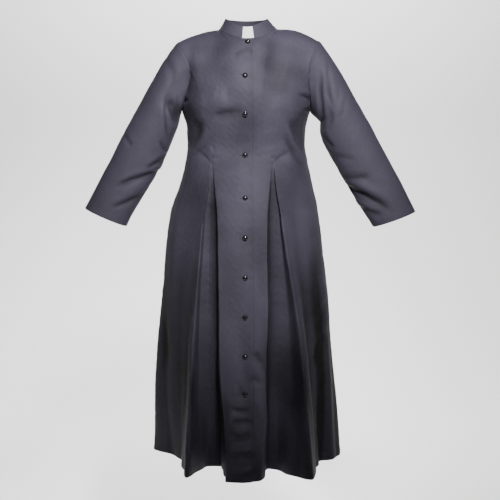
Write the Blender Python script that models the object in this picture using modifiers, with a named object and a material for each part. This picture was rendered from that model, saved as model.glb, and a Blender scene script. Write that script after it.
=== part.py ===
"""Cassock: a full-length clergy robe in black poly-cotton, buttoned down the front.

The cloth hangs filled out, as on a general figure. It is cut as two fronts, two side fronts, a back,
two side backs, two sleeves and a band collar, with an inverted pleat opening below the waist at each
front princess seam. Metres, +Z up, front towards -Y, and the origin is at the base of the neck.
"""

import math

import bmesh
import bpy
import numpy as np
from mathutils import Vector

MM = 0.001

# Cloth
WALL = 1.5 * MM
COLLAR_WALL = 2.5 * MM
SEAM = 0.3 * MM
LAP_STEP = WALL + 0.5 * MM  # how far the under front lies behind the upper one
LAP_END, LAP_BLEND = 5.0, 2.5  # columns: where that step ends, and over how many it fades

# Columns of cloth, counted from centre front: the seams and where each panel's grain lines lie.
EDGE, INNER_FOLD, INNER_HOLLOW, PRINCESS = 2, 6, 9, 12
OUTER_HOLLOW, OUTER_FOLD, SIDE = 15, 18, 28
BACK_PRINCESS, NECK_BACK, CENTRE_BACK = 42, 45, 52
NECK_FRONT = 7
ROUND = 2 * CENTRE_BACK

# The figure inside, from under the arms to the hem: height, half width on the wearer's right and
# left, depth in front and behind, all in metres.
FIGURE = {
    # level: height, right, left, front, behind
    "chest": (-0.245, 0.193, 0.188, 0.139, 0.110),
    "ribs": (-0.300, 0.179, 0.176, 0.127, 0.098),
    "waist": (-0.345, 0.177, 0.173, 0.117, 0.092),
    "pleat": (-0.395, 0.184, 0.181, 0.121, 0.100),
    "hip": (-0.560, 0.231, 0.217, 0.148, 0.146),
    "knee": (-0.950, 0.272, 0.258, 0.205, 0.190),
    "hem": (-1.293, 0.294, 0.283, 0.262, 0.230),
}
BODICE = ("chest", "ribs", "waist", "pleat")
SKIRT = ("hip", "knee", "hem")

# Princess seams: degrees round the bodice from centre front, at each bodice level.
PRINCESS_ANGLE = {
    "right": dict(chest=41.0, ribs=38.5, waist=36.5, pleat=33.4),
    "left": dict(chest=27.5, ribs=25.5, waist=24.5, pleat=24.6),
}
BACK_PRINCESS_ANGLE = 144.0
PLEAT_STEP = 0.8  # degrees between neighbouring fold lines where the pleat starts

# The skirt's fold lines: millimetres across from the centre and forward of it at hip, knee and hem.
FOLDS = {
    "left": (
        # line, column, hip across, forward, knee across, forward, hem across, forward
        ("button_line", 0, -4, 148, -3, 206, -6, 270),
        ("front_edge", EDGE, 15, 147, 15, 205, 15, 266),
        ("inner_fold", INNER_FOLD, 59, 142, 58, 200, 42, 255),
        ("inner_hollow", INNER_HOLLOW, 67, 121, 67, 160, 62, 152),
        ("princess_seam", PRINCESS, 83, 116, 90, 150, 88, 162),
        ("outer_hollow", OUTER_HOLLOW, 94, 118, 123, 158, 124, 206),
        ("outer_fold", OUTER_FOLD, 101, 133, 160, 188, 187, 247),
        ("side_hollow", 21, 142, 97, 187, 112, 216, 92),
        ("side_fold", 25, 192, 58, 233, 66, 268, 50),
        ("side_seam", SIDE, 217, 2, 257, 8, 283, 14),
        ("back_hollow", 32, 202, -40, 240, -55, 254, -62),
        ("back_fold", 37, 170, -86, 206, -118, 236, -150),
        ("back_princess", BACK_PRINCESS, 124, -118, 148, -144, 150, -160),
        ("back_flute", 47, 65, -139, 86, -184, 100, -232),
    ),
    "right": (
        ("under_edge", EDGE, 24, 147, 23, 205, 25, 268),
        ("inner_fold", INNER_FOLD, 85, 138, 75, 201, 57, 264),
        ("inner_hollow", INNER_HOLLOW, 93, 117, 88, 157, 78, 132),
        ("princess_seam", PRINCESS, 108, 111, 112, 146, 113, 131),
        ("outer_hollow", OUTER_HOLLOW, 120, 112, 140, 151, 143, 166),
        ("outer_fold", OUTER_FOLD, 127, 123, 158, 175, 175, 230),
        ("side_hollow", 21, 161, 94, 186, 108, 204, 64),
        ("side_fold", 25, 209, 55, 243, 48, 250, 4),
        ("side_seam", SIDE, 231, 0, 271, -8, 293, -36),
        ("back_hollow", 32, 222, -41, 252, -62, 266, -92),
        ("back_fold", 37, 184, -87, 214, -122, 240, -160),
        ("back_princess", BACK_PRINCESS, 130, -119, 152, -146, 158, -164),
        ("back_flute", 47, 68, -140, 90, -182, 104, -228),
    ),
}
CENTRE_BACK_FOLD = (0, -146, 0, -180, 2, -206)

# Neck, shoulders and armholes
NECK_CENTRE = 0.004
NECK_HALF_WIDTH = 0.086
NECK_FRONT_DEPTH = 0.085
NECK_BACK_DEPTH = 0.066
NECK_SIDE_HEIGHT = -0.006
NECK_FRONT_DROP = 0.0305
NECK_BACK_DROP = 0.006
OPENING_ANGLE = {"left": 10.6, "right": 17.6}
SHOULDER_POINT = {"left": (0.212, -0.039), "right": (0.207, -0.046)}
SHOULDER_ROUND = {"left": 0.010, "right": 0.007}  # rise of the seam above a straight line
PRINCESS_SHOULDER_X = 0.147
ARMHOLE_FRONT = 0.062
ARMHOLE_BACK = 0.066
ARMHOLE_DIP = {"left": 0.019, "right": 0.034}
ARMHOLE_POINT = 0.88  # 1 would make it flat under the arm
ARMHOLE_TAPER = 0.25
# How much of a side panel's width the armhole leaves half way down it. True is behind.
ARMHOLE_KEEPS = {False: {"left": 0.58, "right": 0.42}, True: {"left": 0.45, "right": 0.42}}

# How strongly the cloth leaves the top edge and comes down on the chest. True is behind.
LEAVE_NECK = {False: (0.114, 0.160), True: (0.095, 0.170)}  # outward and down, at the centre
LEAVE_SHOULDER = {False: 0.162, True: 0.165}
ARRIVE = 0.200
# Below the corner of neckline and shoulder seam the cloth rounds off: columns, and share of the way down.
NECK_EASE, NECK_EASE_REACH, NECK_EASE_BY = 4.2, 3.4, 0.25
NECK_EASE_STEPS = 17

# Sleeves: metres along from the armhole's centre, reach outwards and inwards of its axis, half its
# depth, and how far its middle lies forward.
SLEEVES = {
    "left": (
        # along, outer, inner, half depth, forward
        (0.125, 0.0730, 0.0500, 0.064, 0.004),
        (0.155, 0.0735, 0.0665, 0.062, 0.006),
        (0.185, 0.0735, 0.0735, 0.060, 0.008),
        (0.260, 0.0725, 0.0745, 0.056, 0.012),
        (0.330, 0.0715, 0.0735, 0.052, 0.018),
        (0.400, 0.0695, 0.0715, 0.048, 0.025),
        (0.450, 0.0675, 0.0665, 0.045, 0.030),
        (0.483, 0.0660, 0.0655, 0.043, 0.034),
    ),
    "right": (
        (0.125, 0.0700, 0.0590, 0.064, 0.004),
        (0.155, 0.0710, 0.0640, 0.062, 0.006),
        (0.190, 0.0715, 0.0680, 0.060, 0.008),
        (0.250, 0.0715, 0.0720, 0.056, 0.012),
        (0.310, 0.0715, 0.0675, 0.052, 0.018),
        (0.370, 0.0720, 0.0640, 0.048, 0.024),
        (0.420, 0.0710, 0.0615, 0.045, 0.029),
        (0.467, 0.0700, 0.0640, 0.043, 0.034),
    ),
}
SLEEVE_CENTRE = {"left": (0.200, -0.1425), "right": (-0.198, -0.1460)}
SLEEVE_SLOPE = {"left": 29.6, "right": -28.0}
CUFF_TILT = {"left": 0.011, "right": 0.005}
HEAD_ROLL = {"left": 0.07, "right": 0.05}
HEAD_ROWS = (0.0, 0.07, 0.17, 0.32, 0.55, 0.8)

# Collar and its tab
COLLAR_TOP_CENTRE = -0.0015
COLLAR_TOP_HALF_WIDTH = 0.0620
COLLAR_TOP_FRONT = 0.069
COLLAR_TOP_BACK = 0.056
COLLAR_TOP_SIDE_HEIGHT = 0.026
COLLAR_TOP_FRONT_DROP = 0.027
COLLAR_TOP_BACK_DROP = 0.002
COLLAR_ENDS = (11.4, 348.1)
COLLAR_LEAN = ((-70, -11.9, 11.4, 70), (0, 3.5, 5.3, 0))  # degrees round, and its upper edge's lead there
COLLAR_SEAM = 0.6 * MM
COLLAR_STATIONS = 49
TAB_WALL = 1.0 * MM
TAB_TUCK = 11.0  # degrees that the tab runs behind each collar end
TAB_HEIGHTS = (0.01, 0.97)  # shares of the collar's height
TAB_STATIONS = 9

# Buttons
BUTTON_HEIGHTS = (-0.047, -0.146, -0.254, -0.370, -0.493, -0.606, -0.720, -0.832, -0.943, -1.048)
BUTTON_LINE = -0.005
TOP_BUTTON_LINE = 0.0025
TOP_BUTTON_LIFT = 1.1 * MM  # the cloth curves up under it towards the neck
BUTTON_RADIUS = 7.5 * MM
BUTTON_DOME = 4.6 * MM
BUTTON_PROFILE = (
    # share of the radius, share of the dome's height
    (0.0, 1.0),
    (0.32, 0.97),
    (0.60, 0.86),
    (0.83, 0.66),
    (0.96, 0.40),
    (1.0, 0.22),
    (0.94, 0.06),
    (0.80, 0.0),
    (0.0, 0.0),
)

# Fineness
SHARP = math.radians(50)
YOKE_ROWS = 8
BODICE_ROWS = 4
SKIRT_ROWS = 9
SKIRT_SPREAD = 1.2  # over 1 sets the skirt's rows closer at the hip
COLUMN_STEP = 0.02  # for slopes across the cloth, in columns
ROW_STEP = 0.004  # for slopes down the cloth, in rows
LINE_SAMPLES = 400


def clear_scene():
    for old in list(bpy.data.objects):
        bpy.data.objects.remove(old, do_unlink=True)


def monotone(stations, values, at):
    """The smooth curve through values at the stations that never swings past them."""
    stations = np.asarray(stations, float)
    values = np.asarray(values, float)
    at = np.asarray(at, float)
    gaps = np.diff(stations)
    slopes = np.diff(values) / gaps
    before, after = slopes[..., :-1], slopes[..., 1:]
    weight_before = 2 * gaps[1:] + gaps[:-1]
    weight_after = gaps[1:] + 2 * gaps[:-1]
    same_way = before * after > 0
    safe_before = np.where(same_way, before, 1.0)
    safe_after = np.where(same_way, after, 1.0)
    mean = (weight_before + weight_after) / (weight_before / safe_before + weight_after / safe_after)
    inner = np.where(same_way, mean, 0.0)
    tangents = np.concatenate([slopes[..., :1], inner, slopes[..., -1:]], axis=-1)
    span = np.clip(np.searchsorted(stations, at, side="right") - 1, 0, len(gaps) - 1)
    gap = gaps[span]
    t = (at - stations[span]) / gap
    return (
        (2 * t**3 - 3 * t**2 + 1) * values[..., span]
        + (t**3 - 2 * t**2 + t) * gap * tangents[..., span]
        + (3 * t**2 - 2 * t**3) * values[..., span + 1]
        + (t**3 - t**2) * gap * tangents[..., span + 1]
    )


def on_figure(level, degrees):
    """The point of the figure's outline at that level; degrees count from centre front to the left."""
    height, right, left, front, behind = FIGURE[level]
    turn = math.radians(degrees)
    half = left if degrees >= 0 else right
    depth = front if abs(degrees) <= 90 else behind
    return (half * math.sin(turn), -depth * math.cos(turn), height)


def bodice_angle(side, level, column):
    """Degrees round the bodice of one fold line's column, on that side."""
    seam = PRINCESS_ANGLE[side][level]
    if level == "pleat" and INNER_FOLD <= column <= OUTER_FOLD:
        return seam + PLEAT_STEP * (column - PRINCESS) / 3
    if level == "pleat":
        edge = PRINCESS_ANGLE[side]["waist"] * EDGE / PRINCESS
        marks = (0, EDGE, INNER_FOLD, PRINCESS, OUTER_FOLD, SIDE, BACK_PRINCESS, CENTRE_BACK)
        first, last = seam - 2 * PLEAT_STEP, seam + 2 * PLEAT_STEP
        angles = (0, edge, first, seam, last, 90, BACK_PRINCESS_ANGLE, 180)
    else:
        marks = (0, PRINCESS, SIDE, BACK_PRINCESS, CENTRE_BACK)
        angles = (0, seam, 90, BACK_PRINCESS_ANGLE, 180)
    return float(np.interp(column, marks, angles))


def fold_line(side, column, places):
    """One fold line as a point at each level, from the chest to the hem."""
    sign = 1 if side == "left" else -1
    points = [on_figure(level, sign * bodice_angle(side, level, column)) for level in BODICE]
    for index, level in enumerate(SKIRT):
        across, forward = places[2 * index : 2 * index + 2]
        points.append((sign * across * MM, -forward * MM, FIGURE[level][0]))
    return points


def all_fold_lines():
    """Every fold line once round the garment: its columns, and its points by level."""
    lines = {}
    for side, sign in (("left", 1), ("right", -1)):
        for _, column, *places in FOLDS[side]:
            lines[sign * column] = fold_line(side, column, places)
    back = fold_line("left", CENTRE_BACK, CENTRE_BACK_FOLD)
    lines[CENTRE_BACK] = back
    columns = sorted(lines)
    return np.array(columns, float), np.array([lines[column] for column in columns])


LINE_COLUMNS, LINE_POINTS = all_fold_lines()
LEVEL_HEIGHTS = np.array([FIGURE[level][0] for level in BODICE + SKIRT])
CHEST, HEM = LEVEL_HEIGHTS[0], LEVEL_HEIGHTS[-1]


def section(columns, height):
    """Points of the cloth below the arms at one height."""
    lines = monotone(-LEVEL_HEIGHTS, np.moveaxis(LINE_POINTS, 1, 2)[..., :2, :], np.array([-height]))
    places = lines[..., 0]
    stations = np.concatenate([LINE_COLUMNS - ROUND, LINE_COLUMNS, LINE_COLUMNS + ROUND])
    at = (np.asarray(columns, float) + CENTRE_BACK) % ROUND - CENTRE_BACK
    wrapped = np.concatenate([places, places, places])
    across = monotone(stations, wrapped[:, 0], at)
    forward = monotone(stations, wrapped[:, 1], at)
    return np.stack([across, forward, np.full_like(across, height)], axis=-1)


def neck_point(degrees):
    """The neckline's seam, degrees from centre front towards the wearer's left."""
    turn = np.radians(degrees)
    front = np.cos(turn) > 0
    depth = np.where(front, NECK_FRONT_DEPTH, NECK_BACK_DEPTH)
    drop = np.where(front, NECK_FRONT_DROP, NECK_BACK_DROP)
    return np.stack(
        [
            NECK_CENTRE + NECK_HALF_WIDTH * np.sin(turn),
            -depth * np.cos(turn),
            NECK_SIDE_HEIGHT - drop * np.cos(turn) ** 2,
        ],
        axis=-1,
    )


def top_edge(columns, side):
    """The neckline and shoulder seam, by column, for one side of the body, front or back."""
    sign = 1 if side == "left" else -1
    turn = np.interp(
        columns,
        (0, EDGE, NECK_FRONT, NECK_BACK, CENTRE_BACK),
        (0, OPENING_ANGLE[side], 90, 90, 180),
    )
    neck = neck_point(sign * turn)
    end = neck_point(sign * 90.0)
    tip_across, tip_height = SHOULDER_POINT[side]
    across = np.interp(
        columns,
        (NECK_FRONT, PRINCESS, SIDE, BACK_PRINCESS, NECK_BACK),
        (sign * end[0], PRINCESS_SHOULDER_X, tip_across, PRINCESS_SHOULDER_X, sign * end[0]),
    )
    share = (across - sign * end[0]) / (tip_across - sign * end[0])
    height = end[2] + share * (tip_height - end[2]) + SHOULDER_ROUND[side] * np.sin(np.pi * share)
    shoulder = np.stack([sign * across, np.zeros_like(across), height], axis=-1)
    on_neck = (columns <= NECK_FRONT) | (columns >= NECK_BACK)
    return np.where(on_neck[..., None], neck, shoulder)


def armhole(share, side, behind):
    """The armhole's seam from the shoulder (0) to under the arm (1)."""
    turn = np.pi * share
    down = (1 - np.cos(ARMHOLE_POINT * turn)) / (1 - math.cos(ARMHOLE_POINT * math.pi))
    sign = 1 if side == "left" else -1
    under = FIGURE["chest"][2 if side == "left" else 1]
    tip_across, tip_height = SHOULDER_POINT[side]
    across = tip_across + (under - tip_across) * down - ARMHOLE_DIP[side] * np.sin(turn) ** 2
    depth = ARMHOLE_BACK if behind else -ARMHOLE_FRONT
    height = tip_height + (CHEST - tip_height) * down
    forward = depth * np.sin(turn) * (1 - ARMHOLE_TAPER * share**2)
    return np.stack([sign * across, forward, height], axis=-1)


def hermite(start, leave, end, arrive, t):
    t = t[..., None]
    return (
        (2 * t**3 - 3 * t**2 + 1) * start
        + (t**3 - 2 * t**2 + t) * leave
        + (3 * t**2 - 2 * t**3) * end
        + (t**3 - t**2) * arrive
    )


def plain_yoke(columns, share, side, behind):
    """The cloth from the top edge down over the chest or shoulder blades, before the armhole is cut."""
    sign = 1 if side == "left" else -1
    outward = 1 if behind else -1
    from_centre = CENTRE_BACK - columns if behind else columns
    neck_columns = CENTRE_BACK - NECK_BACK if behind else NECK_FRONT
    blend = np.clip(from_centre / neck_columns, 0, 1)
    out, down = LEAVE_NECK[behind]
    forward = outward * (out + (LEAVE_SHOULDER[behind] - out) * blend)
    leave = np.stack([np.zeros_like(blend), forward, -down * (1 - blend)], axis=-1)
    end = section(sign * columns, CHEST)
    arrive = section(sign * columns, CHEST - 0.01) - end
    arrive *= ARRIVE / np.linalg.norm(arrive, axis=-1, keepdims=True)
    return hermite(top_edge(columns, side), leave, end, arrive, share)


def eased_yoke(columns, share, side, behind):
    """The plain yoke, with the corner at the neck's side rounded off below its seam."""
    neck = NECK_BACK if behind else NECK_FRONT
    near = np.exp(-(((columns - neck) / NECK_EASE_REACH) ** 2))
    reach = NECK_EASE * near * np.clip(share / NECK_EASE_BY, 0, 1)
    steps = np.linspace(-1, 1, NECK_EASE_STEPS)
    weights = np.exp(-((steps / 0.55) ** 2))
    weights = weights / weights.sum()
    return sum(w * plain_yoke(columns + step * reach, share, side, behind) for step, w in zip(steps, weights))


def yoke(columns, share, behind):
    """Points of the cloth above the arms' level; share runs from the top edge (0) down (1)."""
    side = "left" if columns[0] + columns[-1] >= 0 else "right"
    columns = np.abs(columns)
    seam = BACK_PRINCESS if behind else PRINCESS
    kept = 1 - (1 - ARMHOLE_KEEPS[behind][side]) * np.sin(np.pi * share)
    across = np.clip((columns - seam) / (SIDE - seam), 0, 1)
    narrowed = np.where(across > 0, seam + across * (SIDE - seam) * kept, columns)
    cut = seam + (SIDE - seam) * kept
    shift = armhole(share, side, behind) - eased_yoke(cut, share, side, behind)
    return eased_yoke(narrowed, share, side, behind) + across[..., None] ** 2 * shift


def cloth(columns, row, behind=False):
    """Points of the whole garment's outer face. Rows run 0 to 1 down the yoke and on to 2 at the hem."""
    columns = np.asarray(columns, float)
    if row >= 1:
        return section(columns, CHEST + (row - 1) * (HEM - CHEST))
    share = np.full(columns.shape, float(row))
    folded = (columns + CENTRE_BACK) % ROUND - CENTRE_BACK if behind else columns
    points = np.empty(columns.shape + (3,))
    for half in (folded >= 0, folded < 0):
        if half.any():
            points[half] = yoke(folded[half], share[half], behind)
    return points


def face_out(columns, row, behind=False):
    """Unit vectors out of the cloth."""
    low, high = columns - COLUMN_STEP, columns + COLUMN_STEP
    if row < 1:
        first, last = (SIDE, ROUND - SIDE) if behind else (-SIDE, SIDE)
        low, high = np.maximum(low, first), np.minimum(high, last)
    along = cloth(high, row, behind) - cloth(low, row, behind)
    up, under = max(row - ROW_STEP, 0.0), min(row + ROW_STEP, 2.0)
    down = cloth(columns, under, behind) - cloth(columns, up, behind)
    normal = np.cross(along, -down)
    return normal / np.linalg.norm(normal, axis=-1, keepdims=True)


def row_stations():
    """The rows of a panel: close over the yoke and hip, wide down the skirt."""
    pleat = FIGURE["pleat"][0]
    bodice = np.linspace(CHEST, pleat, BODICE_ROWS + 1)[1:]
    skirt = pleat + (HEM - pleat) * np.linspace(0, 1, SKIRT_ROWS + 1)[1:] ** SKIRT_SPREAD
    heights = np.concatenate([bodice, skirt])
    return np.concatenate([np.linspace(0, 1, YOKE_ROWS + 1), 1 + (heights - CHEST) / (HEM - CHEST)])


ROWS = row_stations()


def walled(outer, inner, ring=False):
    """A closed wall between two matching grids of points, [row][column]."""
    mesh = bmesh.new()
    rows, columns = outer.shape[:2]
    out = [[mesh.verts.new(point) for point in line] for line in outer]
    ins = [[mesh.verts.new(point) for point in line] for line in inner]
    across = columns if ring else columns - 1
    for r in range(rows - 1):
        for c in range(across):
            n = (c + 1) % columns
            mesh.faces.new((out[r][c], out[r + 1][c], out[r + 1][n], out[r][n]))
            mesh.faces.new((ins[r][c], ins[r][n], ins[r + 1][n], ins[r + 1][c]))
    for c in range(across):
        n = (c + 1) % columns
        mesh.faces.new((out[0][c], out[0][n], ins[0][n], ins[0][c]))
        mesh.faces.new((out[-1][c], ins[-1][c], ins[-1][n], out[-1][n]))
    if not ring:
        for r in range(rows - 1):
            mesh.faces.new((out[r][0], ins[r][0], ins[r + 1][0], out[r + 1][0]))
            mesh.faces.new((out[r][-1], out[r + 1][-1], ins[r + 1][-1], ins[r][-1]))
    bmesh.ops.recalc_face_normals(mesh, faces=mesh.faces)
    return mesh


def add(name, mesh, material, collection):
    data = bpy.data.meshes.new(name)
    mesh.to_mesh(data)
    mesh.free()
    data.materials.append(material)
    data.shade_smooth()
    data.set_sharp_from_angle(angle=SHARP)
    made = bpy.data.objects.new(name, data)
    collection.objects.link(made)
    return made


def finish(name, colour, roughness):
    material = bpy.data.materials.new(name)
    material.use_nodes = True
    shader = material.node_tree.nodes["Principled BSDF"]
    shader.inputs["Base Color"].default_value = (*colour, 1)
    shader.inputs["Roughness"].default_value = roughness
    return material


def panel(name, first, last, material, collection, behind=False, under_lap=False):
    """One panel between two columns, its edges drawn back from its seams."""
    columns = np.arange(first, last + 1, dtype=float)
    outer, inner = [], []
    for row in ROWS:
        points = cloth(columns, row, behind)
        out = face_out(columns, row, behind)
        if under_lap:
            tucked = np.clip((LAP_END - columns) / LAP_BLEND, 0, 1)
            tucked = tucked * tucked * (3 - 2 * tucked)
            points = points - out * (LAP_STEP * tucked)[:, None]
        points[0] += (points[1] - points[0]) * (SEAM / 2) / np.linalg.norm(points[1] - points[0])
        points[-1] += (points[-2] - points[-1]) * (SEAM / 2) / np.linalg.norm(points[-2] - points[-1])
        outer.append(points)
        inner.append(points - out * WALL)
    outer, inner = np.array(outer), np.array(inner)
    down = outer[1] - outer[0]
    down *= (SEAM / 2) / np.linalg.norm(down, axis=-1, keepdims=True)
    outer[0] += down
    inner[0] += down
    return add(name, walled(outer, inner), material, collection)


def sleeve(name, side, material, collection):
    """A one-piece sleeve, from the armhole's seam over its head and down to the open cuff."""
    sign = 1 if side == "left" else -1
    shares = np.linspace(0, 1, YOKE_ROWS + 1)
    loop, onward = [], []
    for share, behind in [(t, False) for t in shares] + [(t, True) for t in shares[-2:0:-1]]:
        edge, inside = (SIDE, SIDE + 0.5) if behind else (SIDE, SIDE - 0.5)
        columns = np.array([edge, inside]) if side == "left" else -np.array([edge, inside])
        near = cloth(columns % ROUND if behind else columns, min(share, 0.99), behind)
        loop.append(armhole(share, side, behind))
        onward.append(near[0] - near[1])
    loop, onward = np.array(loop), np.array(onward)
    turns = np.concatenate([np.pi * shares, np.pi * (2 - shares[-2:0:-1])])

    slope = math.radians(SLEEVE_SLOPE[side])
    along = np.array([math.sin(slope), 0, -math.cos(slope)])
    outwards = np.array([sign * math.cos(slope), 0, sign * math.sin(slope)])
    centre_x, centre_z = SLEEVE_CENTRE[side]
    rows = SLEEVES[side]
    rings = []
    for index, (down, outer, inner, depth, forward) in enumerate(rows):
        tilt = CUFF_TILT[side] if index == len(rows) - 1 else 0.0
        middle = (outer - inner) / 2
        half = (outer + inner) / 2
        ring = np.array([centre_x, -forward, centre_z]) + along * down + outwards * middle
        ring = ring + np.cos(turns)[:, None] * (half * outwards + tilt * along)
        ring[:, 1] -= depth * np.sin(turns)
        rings.append(ring)

    rim = np.roll(loop, -1, axis=0) - np.roll(loop, 1, axis=0)
    rim /= np.linalg.norm(rim, axis=-1, keepdims=True)
    onward -= rim * np.sum(onward * rim, axis=-1, keepdims=True)
    onward /= np.linalg.norm(onward, axis=-1, keepdims=True)
    under = ((1 - np.cos(turns)) / 2)[:, None]
    leave = onward * (1 - under) + along * under
    leave /= np.linalg.norm(leave, axis=-1, keepdims=True)
    bend = np.linalg.norm(np.cross(leave, onward), axis=-1, keepdims=True)
    start = loop + leave * (SEAM * 1.2 + WALL * bend)
    first = rings[0]
    gap = np.linalg.norm(first - start, axis=-1, keepdims=True)
    reach = HEAD_ROLL[side] * (1 - under) + gap * under
    head = []
    for t in HEAD_ROWS:
        share = np.full(len(turns), t)
        head.append(hermite(start, leave * reach, first, along * gap, share))
    grid = np.array(head + rings)

    around = np.roll(grid, -1, axis=1) - np.roll(grid, 1, axis=1)
    downwards = np.gradient(grid, axis=0)
    downwards[0] = leave
    normal = np.cross(downwards, around)
    normal /= np.linalg.norm(normal, axis=-1, keepdims=True)
    if np.sum(normal * (grid - grid.mean(axis=1, keepdims=True))) < 0:
        normal = -normal
    return add(name, walled(grid, grid - normal * WALL, ring=True), material, collection)


def collar_edges(degrees):
    """The collar's lower and upper edges at those degrees from centre front."""
    turn = np.radians(degrees + np.interp((degrees + 180) % 360 - 180, *COLLAR_LEAN))
    front = np.cos(turn) > 0
    depth = np.where(front, COLLAR_TOP_FRONT, COLLAR_TOP_BACK)
    drop = np.where(front, COLLAR_TOP_FRONT_DROP, COLLAR_TOP_BACK_DROP)
    upper = np.stack(
        [
            COLLAR_TOP_CENTRE + COLLAR_TOP_HALF_WIDTH * np.sin(turn),
            -depth * np.cos(turn),
            COLLAR_TOP_SIDE_HEIGHT - drop * np.cos(turn) ** 2,
        ],
        axis=-1,
    )
    return neck_point(degrees), upper


def band(degrees, low, high, inset, wall):
    """A strip of the collar's slope between two heights, set in from its outer face."""
    lower, upper = collar_edges(degrees)
    climb = upper - lower
    around = np.gradient(lower, axis=0)
    out = np.cross(around, climb)
    out /= np.linalg.norm(out, axis=-1, keepdims=True)
    length = np.linalg.norm(climb, axis=-1, keepdims=True)
    rows = []
    for share in (low, (low + high) / 2, high):
        rows.append(lower + climb * np.maximum(share, COLLAR_SEAM / length))
    rows = np.array(rows[::-1])
    return rows - out * inset, rows - out * (inset + wall)


def button(name, place, out, material, collection):
    """A round domed button, turned about its shank, its flat back just off the cloth."""
    mesh = bmesh.new()
    points = [mesh.verts.new((r * BUTTON_RADIUS, 0, h * BUTTON_DOME)) for r, h in BUTTON_PROFILE]
    for low, high in zip(points, points[1:]):
        mesh.edges.new((low, high))
    made = add(name, mesh, material, collection)
    screw = made.modifiers.new("turned", "SCREW")
    screw.axis = "Z"
    screw.steps = screw.render_steps = 16
    screw.use_merge_vertices = True
    screw.merge_threshold = 0.00001
    made.rotation_mode = "QUATERNION"
    made.rotation_quaternion = Vector(out).to_track_quat("Z", "Y")
    made.location = place + out * SEAM


def button_places():
    """For each button, its point on the right front and the direction out of the cloth there."""
    rows = np.linspace(0, 2, LINE_SAMPLES)
    heights = [cloth([0.0], row)[0, 2] for row in rows]
    columns = np.linspace(-EDGE, EDGE, LINE_SAMPLES)
    places = []
    for height in BUTTON_HEIGHTS:
        row = float(np.interp(-height, np.negative(heights), rows))
        across, lift = (TOP_BUTTON_LINE, TOP_BUTTON_LIFT) if not places else (BUTTON_LINE, 0)
        column = np.array([np.interp(across, cloth(columns, row)[:, 0], columns)])
        out = face_out(column, row)[0]
        places.append((cloth(column, row)[0] + lift * out, out))
    return places


clear_scene()
cassock = bpy.data.collections.new("cassock")
bpy.context.scene.collection.children.link(cassock)
black_cloth = finish("black_cloth", (0.030, 0.026, 0.034), 0.85)
black_button = finish("black_button", (0.012, 0.012, 0.014), 0.25)
white_tab = finish("white_tab", (0.80, 0.80, 0.78), 0.45)

panel("front_right", -PRINCESS, EDGE, black_cloth, cassock)
panel("front_left", -EDGE, PRINCESS, black_cloth, cassock, under_lap=True)
panel("side_front_left", PRINCESS, SIDE, black_cloth, cassock)
panel("side_front_right", -SIDE, -PRINCESS, black_cloth, cassock)
panel("side_back_left", SIDE, BACK_PRINCESS, black_cloth, cassock, behind=True)
panel("back", BACK_PRINCESS, ROUND - BACK_PRINCESS, black_cloth, cassock, behind=True)
panel("side_back_right", ROUND - BACK_PRINCESS, ROUND - SIDE, black_cloth, cassock, behind=True)
sleeve("sleeve_left", "left", black_cloth, cassock)
sleeve("sleeve_right", "right", black_cloth, cassock)

collar_at = np.linspace(*COLLAR_ENDS, COLLAR_STATIONS)
add("collar", walled(*band(collar_at, 0.0, 1.0, 0.0, COLLAR_WALL)), black_cloth, cassock)
tab_at = np.linspace(COLLAR_ENDS[1] - 360 - TAB_TUCK, COLLAR_ENDS[0] + TAB_TUCK, TAB_STATIONS)
tab_walls = band(tab_at, *TAB_HEIGHTS, COLLAR_WALL + SEAM, TAB_WALL)
add("collar_tab", walled(*tab_walls), white_tab, cassock)

for number, (place, out) in enumerate(button_places(), 1):
    button(f"button_{number:02d}", place, out, black_button, cassock)
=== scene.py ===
"""A cassock in black poly-cotton, hanging filled out. The cloth pieces take the place of the plain
solids they are named after, with the same cut, and the folds, seams and stitches of the real robe."""
import math

import bpy
import numpy as np
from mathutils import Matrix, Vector
from mathutils.bvhtree import BVHTree


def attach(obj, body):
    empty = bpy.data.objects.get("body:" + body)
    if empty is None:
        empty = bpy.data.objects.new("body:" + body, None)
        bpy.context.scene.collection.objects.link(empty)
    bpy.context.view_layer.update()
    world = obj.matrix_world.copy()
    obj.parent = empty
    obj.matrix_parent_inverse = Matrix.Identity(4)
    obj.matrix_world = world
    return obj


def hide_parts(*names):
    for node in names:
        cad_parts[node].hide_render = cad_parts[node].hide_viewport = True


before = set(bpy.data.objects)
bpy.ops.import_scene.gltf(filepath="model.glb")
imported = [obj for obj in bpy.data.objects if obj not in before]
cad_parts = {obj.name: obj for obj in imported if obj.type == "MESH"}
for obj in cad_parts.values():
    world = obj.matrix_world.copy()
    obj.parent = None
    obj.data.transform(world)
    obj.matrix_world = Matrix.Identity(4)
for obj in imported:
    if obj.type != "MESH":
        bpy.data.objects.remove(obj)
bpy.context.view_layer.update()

# ---------------------------------------------------------------------------------------------
# The cloth: black poly-cotton in a plain weave, dyed with a trace of violet, pressed smooth.
# Its colour is painted with light and shade: lighter on fold ridges and pressed pleat edges, darker in fold
# troughs, inside the pleats and low on the sides. It has a soft sheen at a low angle.
MM = 0.001


def link(tree, start, end):
    tree.links.new(start, end)


def shader_node(tree, kind, **values):
    made = tree.nodes.new(kind)
    for name, value in values.items():
        if hasattr(made, name):
            setattr(made, name, value)
        else:
            made.inputs[name.replace("_", " ")].default_value = value
    return made


def math_node(tree, operation, first, second=None):
    made = tree.nodes.new("ShaderNodeMath")
    made.operation = operation
    for socket, value in zip(made.inputs, (first, second)):
        if value is None:
            continue
        if isinstance(value, (int, float)):
            socket.default_value = value
        else:
            link(tree, value, socket)
    return made.outputs[0]


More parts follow.
